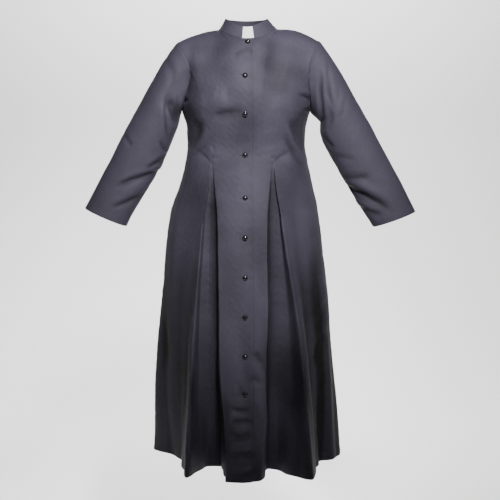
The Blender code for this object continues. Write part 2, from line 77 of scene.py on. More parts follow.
def cloth_finish(name, colour, roughness=0.70, thread=0.55 * MM):
    """Plain weave: threads over and under each other, uneven in thickness, with the nap's sheen."""
    material = bpy.data.materials.new(name)
    material.use_nodes = True
    tree = material.node_tree
    shader = tree.nodes["Principled BSDF"]
    shader.inputs["Roughness"].default_value = roughness
    shader.inputs["Specular IOR Level"].default_value = 0.30
    shader.inputs["Sheen Weight"].default_value = 0.015
    shader.inputs["Sheen Roughness"].default_value = 0.45
    shader.inputs["Sheen Tint"].default_value = (0.80, 0.76, 0.95, 1)
    flat = tree.nodes.new("ShaderNodeUVMap")
    flat.uv_map = "flat"
    split = tree.nodes.new("ShaderNodeSeparateXYZ")
    link(tree, flat.outputs[0], split.inputs[0])
    waves = [
        math_node(tree, "SINE", math_node(tree, "MULTIPLY", split.outputs[axis], math.pi / thread))
        for axis in (0, 1)
    ]
    weave = math_node(tree, "MULTIPLY", *waves)
    slubs = []
    for scale in ((70, 900, 1), (900, 70, 1)):
        stretch = tree.nodes.new("ShaderNodeMapping")
        stretch.inputs["Scale"].default_value = scale
        link(tree, flat.outputs[0], stretch.inputs[0])
        noise = shader_node(tree, "ShaderNodeTexNoise", Scale=1.0, Detail=2.0, Roughness=0.5)
        link(tree, stretch.outputs[0], noise.inputs["Vector"])
        slubs.append(noise.outputs[0])
    slub = math_node(tree, "ADD", *slubs)
    height = math_node(tree, "ADD", math_node(tree, "MULTIPLY", weave, 0.4), slub)
    bump = shader_node(tree, "ShaderNodeBump", Strength=0.5, Distance=0.15 * MM)
    link(tree, height, bump.inputs["Height"])
    crumple = shader_node(tree, "ShaderNodeTexNoise", Scale=42.0, Detail=2.0, Roughness=0.45)
    link(tree, flat.outputs[0], crumple.inputs["Vector"])
    soft = shader_node(tree, "ShaderNodeBump", Strength=0.35, Distance=0.8 * MM)
    link(tree, crumple.outputs[0], soft.inputs["Height"])
    link(tree, soft.outputs[0], bump.inputs["Normal"])
    link(tree, bump.outputs[0], shader.inputs["Normal"])

    where = tree.nodes.new("ShaderNodeTexCoord")
    patches = shader_node(tree, "ShaderNodeTexNoise", Scale=5.0, Detail=3.0, Roughness=0.55)
    link(tree, where.outputs["Object"], patches.inputs["Vector"])
    # painted light and shade, read from each piece's attribute and added to the colour's tone
    painted_shading = tree.nodes.new("ShaderNodeAttribute")
    painted_shading.attribute_name = "painted_shading"
    tone = math_node(tree, "ADD", math_node(tree, "MULTIPLY", patches.outputs[0], 0.35), 0.50)
    tone = math_node(tree, "ADD", tone, math_node(tree, "MULTIPLY", slub, 0.10))
    mottle = shader_node(tree, "ShaderNodeTexNoise", Scale=110.0, Detail=3.0, Roughness=0.6)
    link(tree, where.outputs["Object"], mottle.inputs["Vector"])
    tone = math_node(tree, "ADD", tone, math_node(tree, "MULTIPLY", mottle.outputs[0], 0.30))
    tone = math_node(tree, "ADD", tone, math_node(tree, "MULTIPLY", painted_shading.outputs["Fac"], 0.55))
    tint = tree.nodes.new("ShaderNodeVectorMath")
    tint.operation = "SCALE"
    tint.inputs[0].default_value = colour
    link(tree, tone, tint.inputs["Scale"])
    link(tree, tint.outputs[0], shader.inputs["Base Color"])
    return material


black_cloth = cloth_finish("black poly-cotton", (0.044, 0.040, 0.056))

# ---------------------------------------------------------------------------------------------
# The cut: two fronts, two side fronts, two side backs and a back, sewn with princess seams. An
# inverted pleat opens below the waist at each front princess seam, tacked at its top.
WALL = 1.5 * MM
LAP_STEP = WALL + 0.5 * MM  # how far the under front lies behind the upper one
LAP_END, LAP_BLEND = 5.0, 2.5  # columns: where that step ends, and over how many it fades

# Columns of cloth, counted from centre front: the seams and where each panel's grain lines lie.
EDGE, INNER_FOLD, INNER_HOLLOW, PRINCESS = 2, 6, 9, 12
OUTER_HOLLOW, OUTER_FOLD, SIDE = 15, 18, 28
BACK_PRINCESS, NECK_BACK, CENTRE_BACK = 42, 45, 52
NECK_FRONT = 7
ROUND = 2 * CENTRE_BACK

# The figure inside, from under the arms to the hem: height, half width on the wearer's right and
# left, depth in front and behind, all in metres.
FIGURE = {
    # level: height, right, left, front, behind
    "chest": (-0.245, 0.193, 0.188, 0.139, 0.110),
    "ribs": (-0.300, 0.179, 0.176, 0.127, 0.098),
    "waist": (-0.345, 0.177, 0.173, 0.117, 0.092),
    "pleat": (-0.395, 0.184, 0.181, 0.121, 0.100),
    "hip": (-0.560, 0.231, 0.217, 0.148, 0.146),
    "knee": (-0.950, 0.272, 0.258, 0.205, 0.190),
    "hem": (-1.293, 0.294, 0.283, 0.262, 0.230),
}
BODICE = ("chest", "ribs", "waist", "pleat")
SKIRT = ("hip", "knee", "hem")

# Princess seams: degrees round the bodice from centre front, at each bodice level.
PRINCESS_ANGLE = {
    "right": dict(chest=41.0, ribs=38.5, waist=36.5, pleat=33.4),
    "left": dict(chest=27.5, ribs=25.5, waist=24.5, pleat=24.6),
}
BACK_PRINCESS_ANGLE = 144.0
PLEAT_STEP = 0.8  # degrees between neighbouring fold lines where the pleat starts

# The skirt's fold lines: millimetres across from the centre and forward of it at hip, knee and hem.
FOLDS = {
    "left": (
        # line, column, hip across, forward, knee across, forward, hem across, forward
        ("button_line", 0, -4, 148, -3, 206, -6, 270),
        ("front_edge", EDGE, 15, 147, 15, 205, 15, 266),
        ("inner_fold", INNER_FOLD, 59, 142, 58, 200, 42, 255),
        ("inner_hollow", INNER_HOLLOW, 67, 121, 67, 160, 62, 152),
        ("princess_seam", PRINCESS, 83, 116, 90, 150, 88, 162),
        ("outer_hollow", OUTER_HOLLOW, 94, 118, 123, 158, 124, 206),
        ("outer_fold", OUTER_FOLD, 101, 133, 160, 188, 187, 247),
        ("side_hollow", 21, 142, 97, 187, 112, 216, 92),
        ("side_fold", 25, 192, 58, 233, 66, 268, 50),
        ("side_seam", SIDE, 217, 2, 257, 8, 283, 14),
        ("back_hollow", 32, 202, -40, 240, -55, 254, -62),
        ("back_fold", 37, 170, -86, 206, -118, 236, -150),
        ("back_princess", BACK_PRINCESS, 124, -118, 148, -144, 150, -160),
        ("back_flute", 47, 65, -139, 86, -184, 100, -232),
    ),
    "right": (
        ("under_edge", EDGE, 24, 147, 23, 205, 25, 268),
        ("inner_fold", INNER_FOLD, 85, 138, 75, 201, 57, 264),
        ("inner_hollow", INNER_HOLLOW, 93, 117, 88, 157, 78, 132),
        ("princess_seam", PRINCESS, 108, 111, 112, 146, 113, 131),
        ("outer_hollow", OUTER_HOLLOW, 120, 112, 140, 151, 143, 166),
        ("outer_fold", OUTER_FOLD, 127, 123, 158, 175, 175, 230),
        ("side_hollow", 21, 161, 94, 186, 108, 204, 64),
        ("side_fold", 25, 209, 55, 243, 48, 250, 4),
        ("side_seam", SIDE, 231, 0, 271, -8, 293, -36),
        ("back_hollow", 32, 222, -41, 252, -62, 266, -92),
        ("back_fold", 37, 184, -87, 214, -122, 240, -160),
        ("back_princess", BACK_PRINCESS, 130, -119, 152, -146, 158, -164),
        ("back_flute", 47, 68, -140, 90, -182, 104, -228),
    ),
}
CENTRE_BACK_FOLD = (0, -146, 0, -180, 2, -206)

# Neck, shoulders and armholes
NECK_CENTRE = 0.004
NECK_HALF_WIDTH = 0.086
NECK_FRONT_DEPTH = 0.085
NECK_BACK_DEPTH = 0.066
NECK_SIDE_HEIGHT = -0.006
NECK_FRONT_DROP = 0.0305
NECK_BACK_DROP = 0.006
OPENING_ANGLE = {"left": 10.6, "right": 17.6}
SHOULDER_POINT = {"left": (0.212, -0.039), "right": (0.207, -0.046)}
SHOULDER_ROUND = {"left": 0.010, "right": 0.007}  # rise of the seam above a straight line
PRINCESS_SHOULDER_X = 0.147
ARMHOLE_FRONT = 0.062
ARMHOLE_BACK = 0.066
ARMHOLE_DIP = {"left": 0.019, "right": 0.034}
ARMHOLE_POINT = 0.88  # 1 would make it flat under the arm
ARMHOLE_TAPER = 0.25
# How much of a side panel's width the armhole leaves half way down it. True is behind.
ARMHOLE_KEEPS = {False: {"left": 0.58, "right": 0.42}, True: {"left": 0.45, "right": 0.42}}

# How strongly the cloth leaves the top edge and comes down on the chest. True is behind.
LEAVE_NECK = {False: (0.114, 0.160), True: (0.095, 0.170)}  # outward and down, at the centre
LEAVE_SHOULDER = {False: 0.162, True: 0.165}
ARRIVE = 0.200
# Below the corner of neckline and shoulder seam the cloth rounds off: columns, and share of the way down.
NECK_EASE, NECK_EASE_REACH, NECK_EASE_BY = 4.2, 3.4, 0.25


def monotone(stations, values, at):
    """The smooth curve through values at the stations that never swings past them."""
    stations = np.asarray(stations, float)
    values = np.asarray(values, float)
    at = np.asarray(at, float)
    gaps = np.diff(stations)
    slopes = np.diff(values) / gaps
    before, after = slopes[..., :-1], slopes[..., 1:]
    weight_before = 2 * gaps[1:] + gaps[:-1]
    weight_after = gaps[1:] + 2 * gaps[:-1]
    same_way = before * after > 0
    safe_before = np.where(same_way, before, 1.0)
    safe_after = np.where(same_way, after, 1.0)
    mean = (weight_before + weight_after) / (weight_before / safe_before + weight_after / safe_after)
    inner = np.where(same_way, mean, 0.0)
    tangents = np.concatenate([slopes[..., :1], inner, slopes[..., -1:]], axis=-1)
    span = np.clip(np.searchsorted(stations, at, side="right") - 1, 0, len(gaps) - 1)
    gap = gaps[span]
    t = (at - stations[span]) / gap
    return (
        (2 * t**3 - 3 * t**2 + 1) * values[..., span]
        + (t**3 - 2 * t**2 + t) * gap * tangents[..., span]
        + (3 * t**2 - 2 * t**3) * values[..., span + 1]
        + (t**3 - t**2) * gap * tangents[..., span + 1]
    )


def on_figure(level, degrees):
    """The point of the figure's outline at that level; degrees count from centre front to the left."""
    height, right, left, front, behind = FIGURE[level]
    turn = math.radians(degrees)
    half = left if degrees >= 0 else right
    depth = front if abs(degrees) <= 90 else behind
    return (half * math.sin(turn), -depth * math.cos(turn), height)


def bodice_angle(side, level, column):
    """Degrees round the bodice of one fold line's column, on that side."""
    seam = PRINCESS_ANGLE[side][level]
    if level == "pleat" and INNER_FOLD <= column <= OUTER_FOLD:
        return seam + PLEAT_STEP * (column - PRINCESS) / 3
    if level == "pleat":
        edge = PRINCESS_ANGLE[side]["waist"] * EDGE / PRINCESS
        marks = (0, EDGE, INNER_FOLD, PRINCESS, OUTER_FOLD, SIDE, BACK_PRINCESS, CENTRE_BACK)
        first, last = seam - 2 * PLEAT_STEP, seam + 2 * PLEAT_STEP
        angles = (0, edge, first, seam, last, 90, BACK_PRINCESS_ANGLE, 180)
    else:
        marks = (0, PRINCESS, SIDE, BACK_PRINCESS, CENTRE_BACK)
        angles = (0, seam, 90, BACK_PRINCESS_ANGLE, 180)
    return float(np.interp(column, marks, angles))


def fold_line(side, column, places):
    """One fold line as a point at each level, from the chest to the hem."""
    sign = 1 if side == "left" else -1
    points = [on_figure(level, sign * bodice_angle(side, level, column)) for level in BODICE]
    for index, level in enumerate(SKIRT):
        across, forward = places[2 * index : 2 * index + 2]
        points.append((sign * across * MM, -forward * MM, FIGURE[level][0]))
    return points


def all_fold_lines():
    """Every fold line once round the garment: its columns, and its points by level."""
    lines = {}
    for side, sign in (("left", 1), ("right", -1)):
        for _, column, *places in FOLDS[side]:
            lines[sign * column] = fold_line(side, column, places)
    back = fold_line("left", CENTRE_BACK, CENTRE_BACK_FOLD)
    lines[CENTRE_BACK] = back
    columns = sorted(lines)
    return np.array(columns, float), np.array([lines[column] for column in columns])


LINE_COLUMNS, LINE_POINTS = all_fold_lines()
LEVEL_HEIGHTS = np.array([FIGURE[level][0] for level in BODICE + SKIRT])
CHEST, HEM = LEVEL_HEIGHTS[0], LEVEL_HEIGHTS[-1]


def section(columns, height):
    """Points of the cloth below the arms at one height."""
    lines = monotone(-LEVEL_HEIGHTS, np.moveaxis(LINE_POINTS, 1, 2)[..., :2, :], np.array([-height]))
    places = lines[..., 0]
    stations = np.concatenate([LINE_COLUMNS - ROUND, LINE_COLUMNS, LINE_COLUMNS + ROUND])
    at = (np.asarray(columns, float) + CENTRE_BACK) % ROUND - CENTRE_BACK
    wrapped = np.concatenate([places, places, places])
    across = monotone(stations, wrapped[:, 0], at)
    forward = monotone(stations, wrapped[:, 1], at)
    return np.stack([across, forward, np.full_like(across, height)], axis=-1)


def neck_point(degrees):
    """The neckline's seam, degrees from centre front towards the wearer's left."""
    turn = np.radians(degrees)
    front = np.cos(turn) > 0
    depth = np.where(front, NECK_FRONT_DEPTH, NECK_BACK_DEPTH)
    drop = np.where(front, NECK_FRONT_DROP, NECK_BACK_DROP)
    return np.stack(
        [
            NECK_CENTRE + NECK_HALF_WIDTH * np.sin(turn),
            -depth * np.cos(turn),
            NECK_SIDE_HEIGHT - drop * np.cos(turn) ** 2,
        ],
        axis=-1,
    )


def top_edge(columns, side):
    """The neckline and shoulder seam, by column, for one side of the body, front or back."""
    sign = 1 if side == "left" else -1
    turn = np.interp(
        columns,
        (0, EDGE, NECK_FRONT, NECK_BACK, CENTRE_BACK),
        (0, OPENING_ANGLE[side], 90, 90, 180),
    )
    neck = neck_point(sign * turn)
    end = neck_point(sign * 90.0)
    tip_across, tip_height = SHOULDER_POINT[side]
    across = np.interp(
        columns,
        (NECK_FRONT, PRINCESS, SIDE, BACK_PRINCESS, NECK_BACK),
        (sign * end[0], PRINCESS_SHOULDER_X, tip_across, PRINCESS_SHOULDER_X, sign * end[0]),
    )
    share = (across - sign * end[0]) / (tip_across - sign * end[0])
    height = end[2] + share * (tip_height - end[2]) + SHOULDER_ROUND[side] * np.sin(np.pi * share)
    shoulder = np.stack([sign * across, np.zeros_like(across), height], axis=-1)
    on_neck = (columns <= NECK_FRONT) | (columns >= NECK_BACK)
    return np.where(on_neck[..., None], neck, shoulder)


def armhole(share, side, behind):
    """The armhole's seam from the shoulder (0) to under the arm (1)."""
    turn = np.pi * share
    down = (1 - np.cos(ARMHOLE_POINT * turn)) / (1 - math.cos(ARMHOLE_POINT * math.pi))
    sign = 1 if side == "left" else -1
    under = FIGURE["chest"][2 if side == "left" else 1]
    tip_across, tip_height = SHOULDER_POINT[side]
    across = tip_across + (under - tip_across) * down - ARMHOLE_DIP[side] * np.sin(turn) ** 2
    depth = ARMHOLE_BACK if behind else -ARMHOLE_FRONT
    height = tip_height + (CHEST - tip_height) * down
    forward = depth * np.sin(turn) * (1 - ARMHOLE_TAPER * share**2)
    return np.stack([sign * across, forward, height], axis=-1)


def hermite(start, leave, end, arrive, t):
    t = t[..., None]
    return (
        (2 * t**3 - 3 * t**2 + 1) * start
        + (t**3 - 2 * t**2 + t) * leave
        + (3 * t**2 - 2 * t**3) * end
        + (t**3 - t**2) * arrive
    )


def plain_yoke(columns, share, side, behind):
    """The cloth from the top edge down over the chest or shoulder blades, before the armhole is cut."""
    sign = 1 if side == "left" else -1
    outward = 1 if behind else -1
    from_centre = CENTRE_BACK - columns if behind else columns
    neck_columns = CENTRE_BACK - NECK_BACK if behind else NECK_FRONT
    blend = np.clip(from_centre / neck_columns, 0, 1)
    out, down = LEAVE_NECK[behind]
    forward = outward * (out + (LEAVE_SHOULDER[behind] - out) * blend)
    leave = np.stack([np.zeros_like(blend), forward, -down * (1 - blend)], axis=-1)
    end = section(sign * columns, CHEST)
    arrive = section(sign * columns, CHEST - 0.01) - end
    arrive *= ARRIVE / np.linalg.norm(arrive, axis=-1, keepdims=True)
    return hermite(top_edge(columns, side), leave, end, arrive, share)


def eased_yoke(columns, share, side, behind):
    """The plain yoke, with the corner at the neck's side rounded off below its seam."""
    neck = NECK_BACK if behind else NECK_FRONT
    near = np.exp(-(((columns - neck) / NECK_EASE_REACH) ** 2))
    reach = NECK_EASE * near * np.clip(share / NECK_EASE_BY, 0, 1)
    if not reach.max() > 0.02:
        return plain_yoke(columns, share, side, behind)
    steps = np.linspace(-1, 1, 17)
    weights = np.exp(-((steps / 0.55) ** 2))
    weights = weights / weights.sum()
    return sum(w * plain_yoke(columns + step * reach, share, side, behind) for step, w in zip(steps, weights))


def yoke(columns, share, behind):
    """Points of the cloth above the arms' level; share runs from the top edge (0) down (1)."""
    side = "left" if columns[0] + columns[-1] >= 0 else "right"
    columns = np.abs(columns)
    seam = BACK_PRINCESS if behind else PRINCESS
    kept = 1 - (1 - ARMHOLE_KEEPS[behind][side]) * np.sin(np.pi * share)
    across = np.clip((columns - seam) / (SIDE - seam), 0, 1)
    narrowed = np.where(across > 0, seam + across * (SIDE - seam) * kept, columns)
    cut = seam + (SIDE - seam) * kept
    shift = armhole(share, side, behind) - eased_yoke(cut, share, side, behind)
    return eased_yoke(narrowed, share, side, behind) + across[..., None] ** 2 * shift


def cloth(columns, row, behind=False):
    """Points of the whole garment's outer face. Rows run 0 to 1 down the yoke and on to 2 at the hem."""
    columns = np.asarray(columns, float)
    if row >= 1:
        return section(columns, CHEST + (row - 1) * (HEM - CHEST))
    share = np.full(columns.shape, float(row))
    folded = (columns + CENTRE_BACK) % ROUND - CENTRE_BACK if behind else columns
    points = np.empty(columns.shape + (3,))
    for half in (folded >= 0, folded < 0):
        if half.any():
            points[half] = yoke(folded[half], share[half], behind)
    return points


# The folds in the cloth, each a soft trough with a ridge beside it: width and depth in millimetres,
# how strong it is at its start and end, and its line as millimetres across and up. A negative depth
# is a swell. The ones behind and on the sleeves' backs are like those in front.
BODY_FOLDS = {
    "front": (
        # width, depth, start, end, line
        (12, 4.2, 0.2, 0.5, ((-102, -256), (-66, -252), (-26, -248))),
        (30, -4.0, 0.0, 0.0, ((-112, -196), (-84, -205), (-50, -206))),
        (7, 1.6, 0.0, 0.6, ((-40, -88), (-22, -74), (-6, -66))),
        (6, 1.2, 0.6, 0.0, ((-4, -66), (8, -74), (17, -84))),
        (4, 3.2, 0.2, 0.2, ((-154, -160), (-168, -142), (-189, -132), (-199, -158), (-199, -203))),
        (5, 6.0, 0.9, 0.0, ((-197, -258), (-198, -232), (-192, -217), (-180, -213), (-166, -217))),
        (24, 9.0, 0.5, 0.0, ((-178, -250), (-156, -290), (-152, -330), (-160, -372))),
        (11, 4.6, 0.0, 0.4, ((-118, -268), (-143, -296), (-166, -330), (-174, -366))),
        (8, 3.0, 0.2, 0.3, ((-105, -334), (-138, -360), (-170, -388))),
        (10, -3.0, 0.0, 0.0, ((-108, -296), (-138, -338), (-160, -372))),
        (5, 5.0, 1.0, 0.0, ((206, -233), (189, -215), (170, -202), (144, -197))),
        (5, 3.2, 0.9, 0.0, ((196, -240), (178, -243), (157, -248))),
        (26, 8.0, 0.4, 0.0, ((178, -246), (160, -282), (150, -320), (160, -366))),
        (10, 5.0, 0.0, 0.2, ((112, -258), (140, -302), (168, -370))),
        (9, 4.6, 0.0, 0.3, ((100, -304), (132, -356), (162, -400))),
        (12, -3.4, 0.0, 0.0, ((108, -282), (138, -330), (166, -386))),
        (12, 4.0, 0.3, 0.0, ((245, -895), (208, -948), (197, -1012))),
        (8, 3.0, 0.0, 0.0, ((231, -1010), (226, -1056), (223, -1100))),
        (9, 3.0, 0.0, 0.0, ((237, -790), (226, -850), (216, -900))),
        (9, 2.6, 0.0, 0.0, ((-250, -856), (-243, -930), (-236, -1020))),
        (8, 5.6, 0.0, 0.0, ((-54, -1088), (-24, -1094), (16, -1100))),
        (8, 6.0, 0.0, 0.0, ((-52, -1132), (-18, -1124), (24, -1127))),
        (11, 7.0, 0.0, 0.0, ((-58, -1164), (-20, -1170), (20, -1158))),
        (12, 7.5, 0.0, 0.0, ((-56, -1226), (-16, -1216), (30, -1220))),
        (11, 6.4, 0.0, 0.2, ((-48, -1264), (-14, -1271), (24, -1260))),
        (12, 4.0, 0.0, 0.3, ((14, -926), (30, -946), (46, -972))),
        (11, 3.6, 0.2, 0.0, ((6, -1016), (24, -1008), (44, -1026))),
        (6, 3.4, 0.0, 0.0, ((-30, -1012), (-16, -1040), (-26, -1066))),
        (10, -3.0, 0.0, 0.0, ((-28, -1084), (-44, -1112), (-54, -1150))),
        (12, -3.4, 0.0, 0.0, ((20, -1046), (38, -1096), (52, -1150))),
        (4, 1.4, 0.8, 0.0, ((-99, -378), (-90, -379), (-80, -382))),
        (4, 1.4, 0.8, 0.0, ((72, -378), (80, -378), (90, -380))),
        (4, 1.3, 0.0, 0.0, ((-104, -338), (-96, -352), (-98, -366))),
    ),
    "back": (
        (14, 3.6, 0.8, 0.0, ((-172, -205), (-138, -222), (-96, -226))),
        (12, 3.8, 0.8, 0.0, ((176, -212), (140, -234), (102, -242))),
        (11, 3.6, 0.1, 0.3, ((-92, -300), (-128, -330), (-164, -372))),
        (10, 3.4, 0.1, 0.3, ((96, -292), (134, -326), (166, -362))),
        (12, 3.0, 0.0, 0.0, ((-70, -356), (-20, -368), (44, -362))),
        (11, 2.4, 0.0, 0.0, ((-48, -392), (8, -400), (66, -390))),
        (10, 2.6, 0.0, 0.0, ((-118, -408), (-150, -418), (-178, -424))),
        (18, 3.4, 0.0, 0.0, ((62, -640), (70, -800), (76, -960))),
        (18, 3.4, 0.0, 0.0, ((-60, -700), (-66, -860), (-70, -1020))),
        (10, 3.0, 0.0, 0.0, ((226, -980), (220, -1030), (214, -1080))),
        (11, 3.2, 0.0, 0.0, ((-238, -900), (-226, -960), (-220, -1020))),
    ),
}
SEAM_GROOVE, SEAM_WIDTH = 0.30, 1.0  # millimetres
ALLOWANCE, ALLOWANCE_RISE = 13.0, 0.10
PUCKER, PUCKER_LENGTH, PUCKER_REACH = 0.30, 13.0, 9.0


def ease(low, high, value):
    share = np.clip((value - low) / (high - low), 0, 1)
    return share * share * (3 - 2 * share)


def unit(vectors):
    return vectors / np.maximum(np.linalg.norm(vectors, axis=-1, keepdims=True), 1e-12)


def rounded(line, pieces=8):
    """The line of points with its corners taken off, still through every point."""
    line = np.array(line, float) * MM
    ends = np.concatenate([[2 * line[0] - line[1]], line, [2 * line[-1] - line[-2]]])
    found = []
    for a, b, c, d in zip(ends, ends[1:], ends[2:], ends[3:]):
        for t in np.arange(pieces) / pieces:
            square = (2 * a - 5 * b + 4 * c - d) * t**2
            cube = (3 * b - a - 3 * c + d) * t**3
            found.append(0.5 * (2 * b + (c - a) * t + square + cube))
    return np.array(found + [line[-1]])


def fold(points, width, depth, start, end, line):
    """How far one fold lifts each point, in metres."""
    line = rounded(line)
    width, depth = width * MM, depth * MM
    flat = points[..., [0, 2]]
    lift = np.zeros(flat.shape[:-1])
    near = np.all((flat > line.min(0) - 4 * width) & (flat < line.max(0) + 4 * width), axis=-1)
    flat = flat[near]
    if not len(flat):
        return lift
    best = np.full(len(flat), np.inf)
    side, along = np.zeros(len(flat)), np.zeros(len(flat))
    steps = np.linalg.norm(np.diff(line, axis=0), axis=1)
    run = 0.0
    for a, b, step in zip(line, line[1:], steps):
        way = (b - a) / step
        offset = flat - a
        t = np.clip(offset @ way, 0, step)
        away = np.linalg.norm(offset - t[:, None] * way, axis=-1)
        nearer = away < best
        best = np.where(nearer, away, best)
        side = np.where(nearer, offset[:, 0] * way[1] - offset[:, 1] * way[0], side)
        along = np.where(nearer, (run + t) / steps.sum(), along)
        run += step
    u = np.copysign(best, side) / width
    trough = -np.exp(-np.abs(u) ** 1.7)
    ridge, far_ridge = (np.exp(-((u + at) ** 2) / 1.8) for at in (-2.3, 2.3))
    shape = trough + 0.30 * ridge + 0.14 * far_ridge
    strength = (start + (1 - start) * ease(0, 0.35, along)) * (end + (1 - end) * ease(1, 0.6, along))
    lift[near] = depth * shape * strength
    return lift


def swells(points, seed, size, parts=12):
    """Slow, uneven swells over the cloth, between about -1 and 1."""
    random = np.random.default_rng(seed)
    total = np.zeros(points.shape[:-1])
    for _ in range(parts):
        way = unit(random.normal(size=3)) / np.array(size)
        total += np.sin(2 * math.pi * (points @ way + random.random()))
    return total / math.sqrt(parts / 2)


def facing(grid, ring=False):
    """Unit vectors out of a grid of points, [row][column]."""
    if ring:
        across = np.roll(grid, -1, axis=1) - np.roll(grid, 1, axis=1)
    else:
        across = np.gradient(grid, axis=1)
    return unit(np.cross(np.gradient(grid, axis=0), across))


def run_across(grid):
    steps = np.linalg.norm(np.diff(grid, axis=1), axis=-1)
    return np.concatenate([np.zeros((len(grid), 1)), np.cumsum(steps, axis=1)], axis=1)


def run_down(grid):
    return np.moveaxis(run_across(np.moveaxis(grid, 0, 1)), 0, 1)


def body_drape(grid, out):
    """How far the folds and swells lift the cloth of the body."""
    height = grid[..., 2]
    front = ease(0.35, -0.25, out[..., 1]) * ease(0.03, -0.01, grid[..., 1])
    behind = ease(-0.35, 0.25, out[..., 1]) * ease(-0.03, 0.01, grid[..., 1])
    lift = sum(front * fold(grid, *row) for row in BODY_FOLDS["front"])
    lift = lift + sum(behind * fold(grid, *row) for row in BODY_FOLDS["back"])
    low = ease(-0.45, -1.2, height)
    lift += 0.40 * MM * swells(grid, 11, (0.075, 0.075, 0.060)) * (1 - low)
    lift += (0.4 + 2.0 * low) * MM * swells(grid, 12, (0.060, 0.060, 0.75)) * ease(-0.38, -0.60, height)
    lift += 1.0 * MM * swells(grid, 13, (0.17, 0.17, 0.24))
    lift += 0.09 * MM * swells(grid, 14, (0.013, 0.013, 0.016))
    return lift


def armhole_holds(points):
    """0 at the armhole seams, where sleeve and body share one line, and 1 from 5 mm away."""
    shares = np.linspace(0, 1, 60)
    held = np.ones(points.shape[:-1])
    for side in ("left", "right"):
        line = np.concatenate([armhole(shares, side, behind) for behind in (False, True)])
        near = np.all(np.abs(points - line.mean(0)) < np.ptp(line, axis=0) / 2 + 15 * MM, axis=-1)
        away = np.linalg.norm(points[near][:, None] - line, axis=-1).min(1)
        held[near] *= ease(0.5 * MM, 5 * MM, away)
    return held


def seam_lift(away, seed, points):
    """The cloth beside a pressed-open seam: a groove, the turnings' slight rise, and puckers."""
    away = away / MM
    pucker = swells(points, seed, (0.5, 0.5, PUCKER_LENGTH * MM * 1.7))
    return MM * (
        -SEAM_GROOVE * np.exp(-((away / SEAM_WIDTH) ** 2))
        + ALLOWANCE_RISE * ease(ALLOWANCE + 2, ALLOWANCE - 1, away)
        + PUCKER * pucker * np.exp(-away / PUCKER_REACH)
    )


def shell(name, outer, wall, flat, painted_shading=None, ring=False):
    """A piece of cloth: a closed thin wall behind the grid of points, with its flat place kept."""
    rows, columns = outer.shape[:2]
    out = facing(outer, ring)
    inner = outer - out * wall
    count = rows * columns
    index = np.arange(count).reshape(rows, columns)
    if ring:
        index = np.concatenate([index, index[:, :1]], axis=1)
    a, b, c, d = index[:-1, :-1], index[1:, :-1], index[1:, 1:], index[:-1, 1:]
    front = np.stack([a, b, c, d], axis=-1).reshape(-1, 4)
    faces = [front, front[:, ::-1] + count]
    edges = [index[0, ::-1], index[-1]]
    if not ring:
        edges += [index[:, 0], index[::-1, -1]]
    for edge in edges:
        one, two = edge[:-1], edge[1:]
        faces.append(np.stack([two, one, one + count, two + count], axis=-1))
    faces = np.concatenate(faces)
    points = np.concatenate([outer.reshape(-1, 3), inner.reshape(-1, 3)])
    mesh = bpy.data.meshes.new(name)
    mesh.vertices.add(len(points))
    mesh.vertices.foreach_set("co", points.astype(np.float32).ravel())
    mesh.loops.add(faces.size)
    mesh.loops.foreach_set("vertex_index", faces.astype(np.int32).ravel())
    mesh.polygons.add(len(faces))
    mesh.polygons.foreach_set("loop_start", np.arange(0, faces.size, 4, dtype=np.int32))
    mesh.update(calc_edges=True)
    layer = mesh.uv_layers.new(name="flat")
    places = np.concatenate([flat.reshape(-1, 2)] * 2)[faces.ravel()]
    layer.uv.foreach_set("vector", places.astype(np.float32).ravel())
    # painted shading per point: above zero is painted highlight, below zero is painted shade
    painted_shading_values = np.zeros((rows, columns)) if painted_shading is None else painted_shading
    painted_shading_values = np.concatenate([painted_shading_values.ravel()] * 2)
    mesh.attributes.new("painted_shading", "FLOAT", "POINT").data.foreach_set("value", painted_shading_values.astype(np.float32))
    mesh.shade_smooth()
    mesh.set_sharp_from_angle(angle=math.radians(50))
    made = bpy.data.objects.new(name, mesh)
    bpy.context.scene.collection.objects.link(made)
    return made


def dress(piece, node, material):
    """The piece stands for its plain solid and hangs with the robe."""
    piece.data.materials.append(material)
    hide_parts(node)
    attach(piece, "root")


HEM_DEPTH = 25 * MM
FRONT_MESH, UNDER_MESH, SIDE_MESH, BACK_MESH = 3.4 * MM, 3.8 * MM, 4.0 * MM, 5.4 * MM  # grid steps
EDGE_STEPS = np.array([0.5, 1.1, 1.9, 3.0]) * MM  # the rows and columns close to an edge
YOKE_RUN = 0.27  # about how far the cloth runs from its top edge to the arms' level
CORNER_PASSES = 120
LAP_RISE, LAP_HOLLOW = 0.9 * MM, 1.3 * MM
PRESSED = (INNER_FOLD, OUTER_FOLD, -INNER_FOLD, -OUTER_FOLD)
BUTTON_HEIGHTS = (-0.047, -0.146, -0.254, -0.370, -0.493, -0.606, -0.720, -0.832, -0.943, -1.048)
BUTTON_LINE = -0.005
TOP_BUTTON_LINE = 0.0025
TOP_BUTTON_LIFT = 1.1 * MM  # the cloth curves up under it towards the neck
BUTTON_RADIUS = 7.5 * MM
BUTTON_DOME = 4.6 * MM


def button_places():
    """Each button's point on the right front, and the direction out of the cloth there."""
    rows = np.linspace(0, 2, 400)
    heights = [cloth([0.0], row)[0, 2] for row in rows]
    columns = np.linspace(-EDGE, EDGE, 400)
    places = []
    for height in BUTTON_HEIGHTS:
        row = float(np.interp(-height, np.negative(heights), rows))
        line, lift = (BUTTON_LINE, 0) if places else (TOP_BUTTON_LINE, TOP_BUTTON_LIFT)
        column = np.interp(line, cloth(columns, row)[:, 0], columns)
        near = [column - 0.05, column, column + 0.05]
        around = np.array([[cloth([c], row + dr)[0] for c in near] for dr in (-0.004, 0, 0.004)])
        out = facing(around)[1, 1]
        places.append((around[1, 1] + lift * out, out))
    return places


BUTTON_PLACES = button_places()


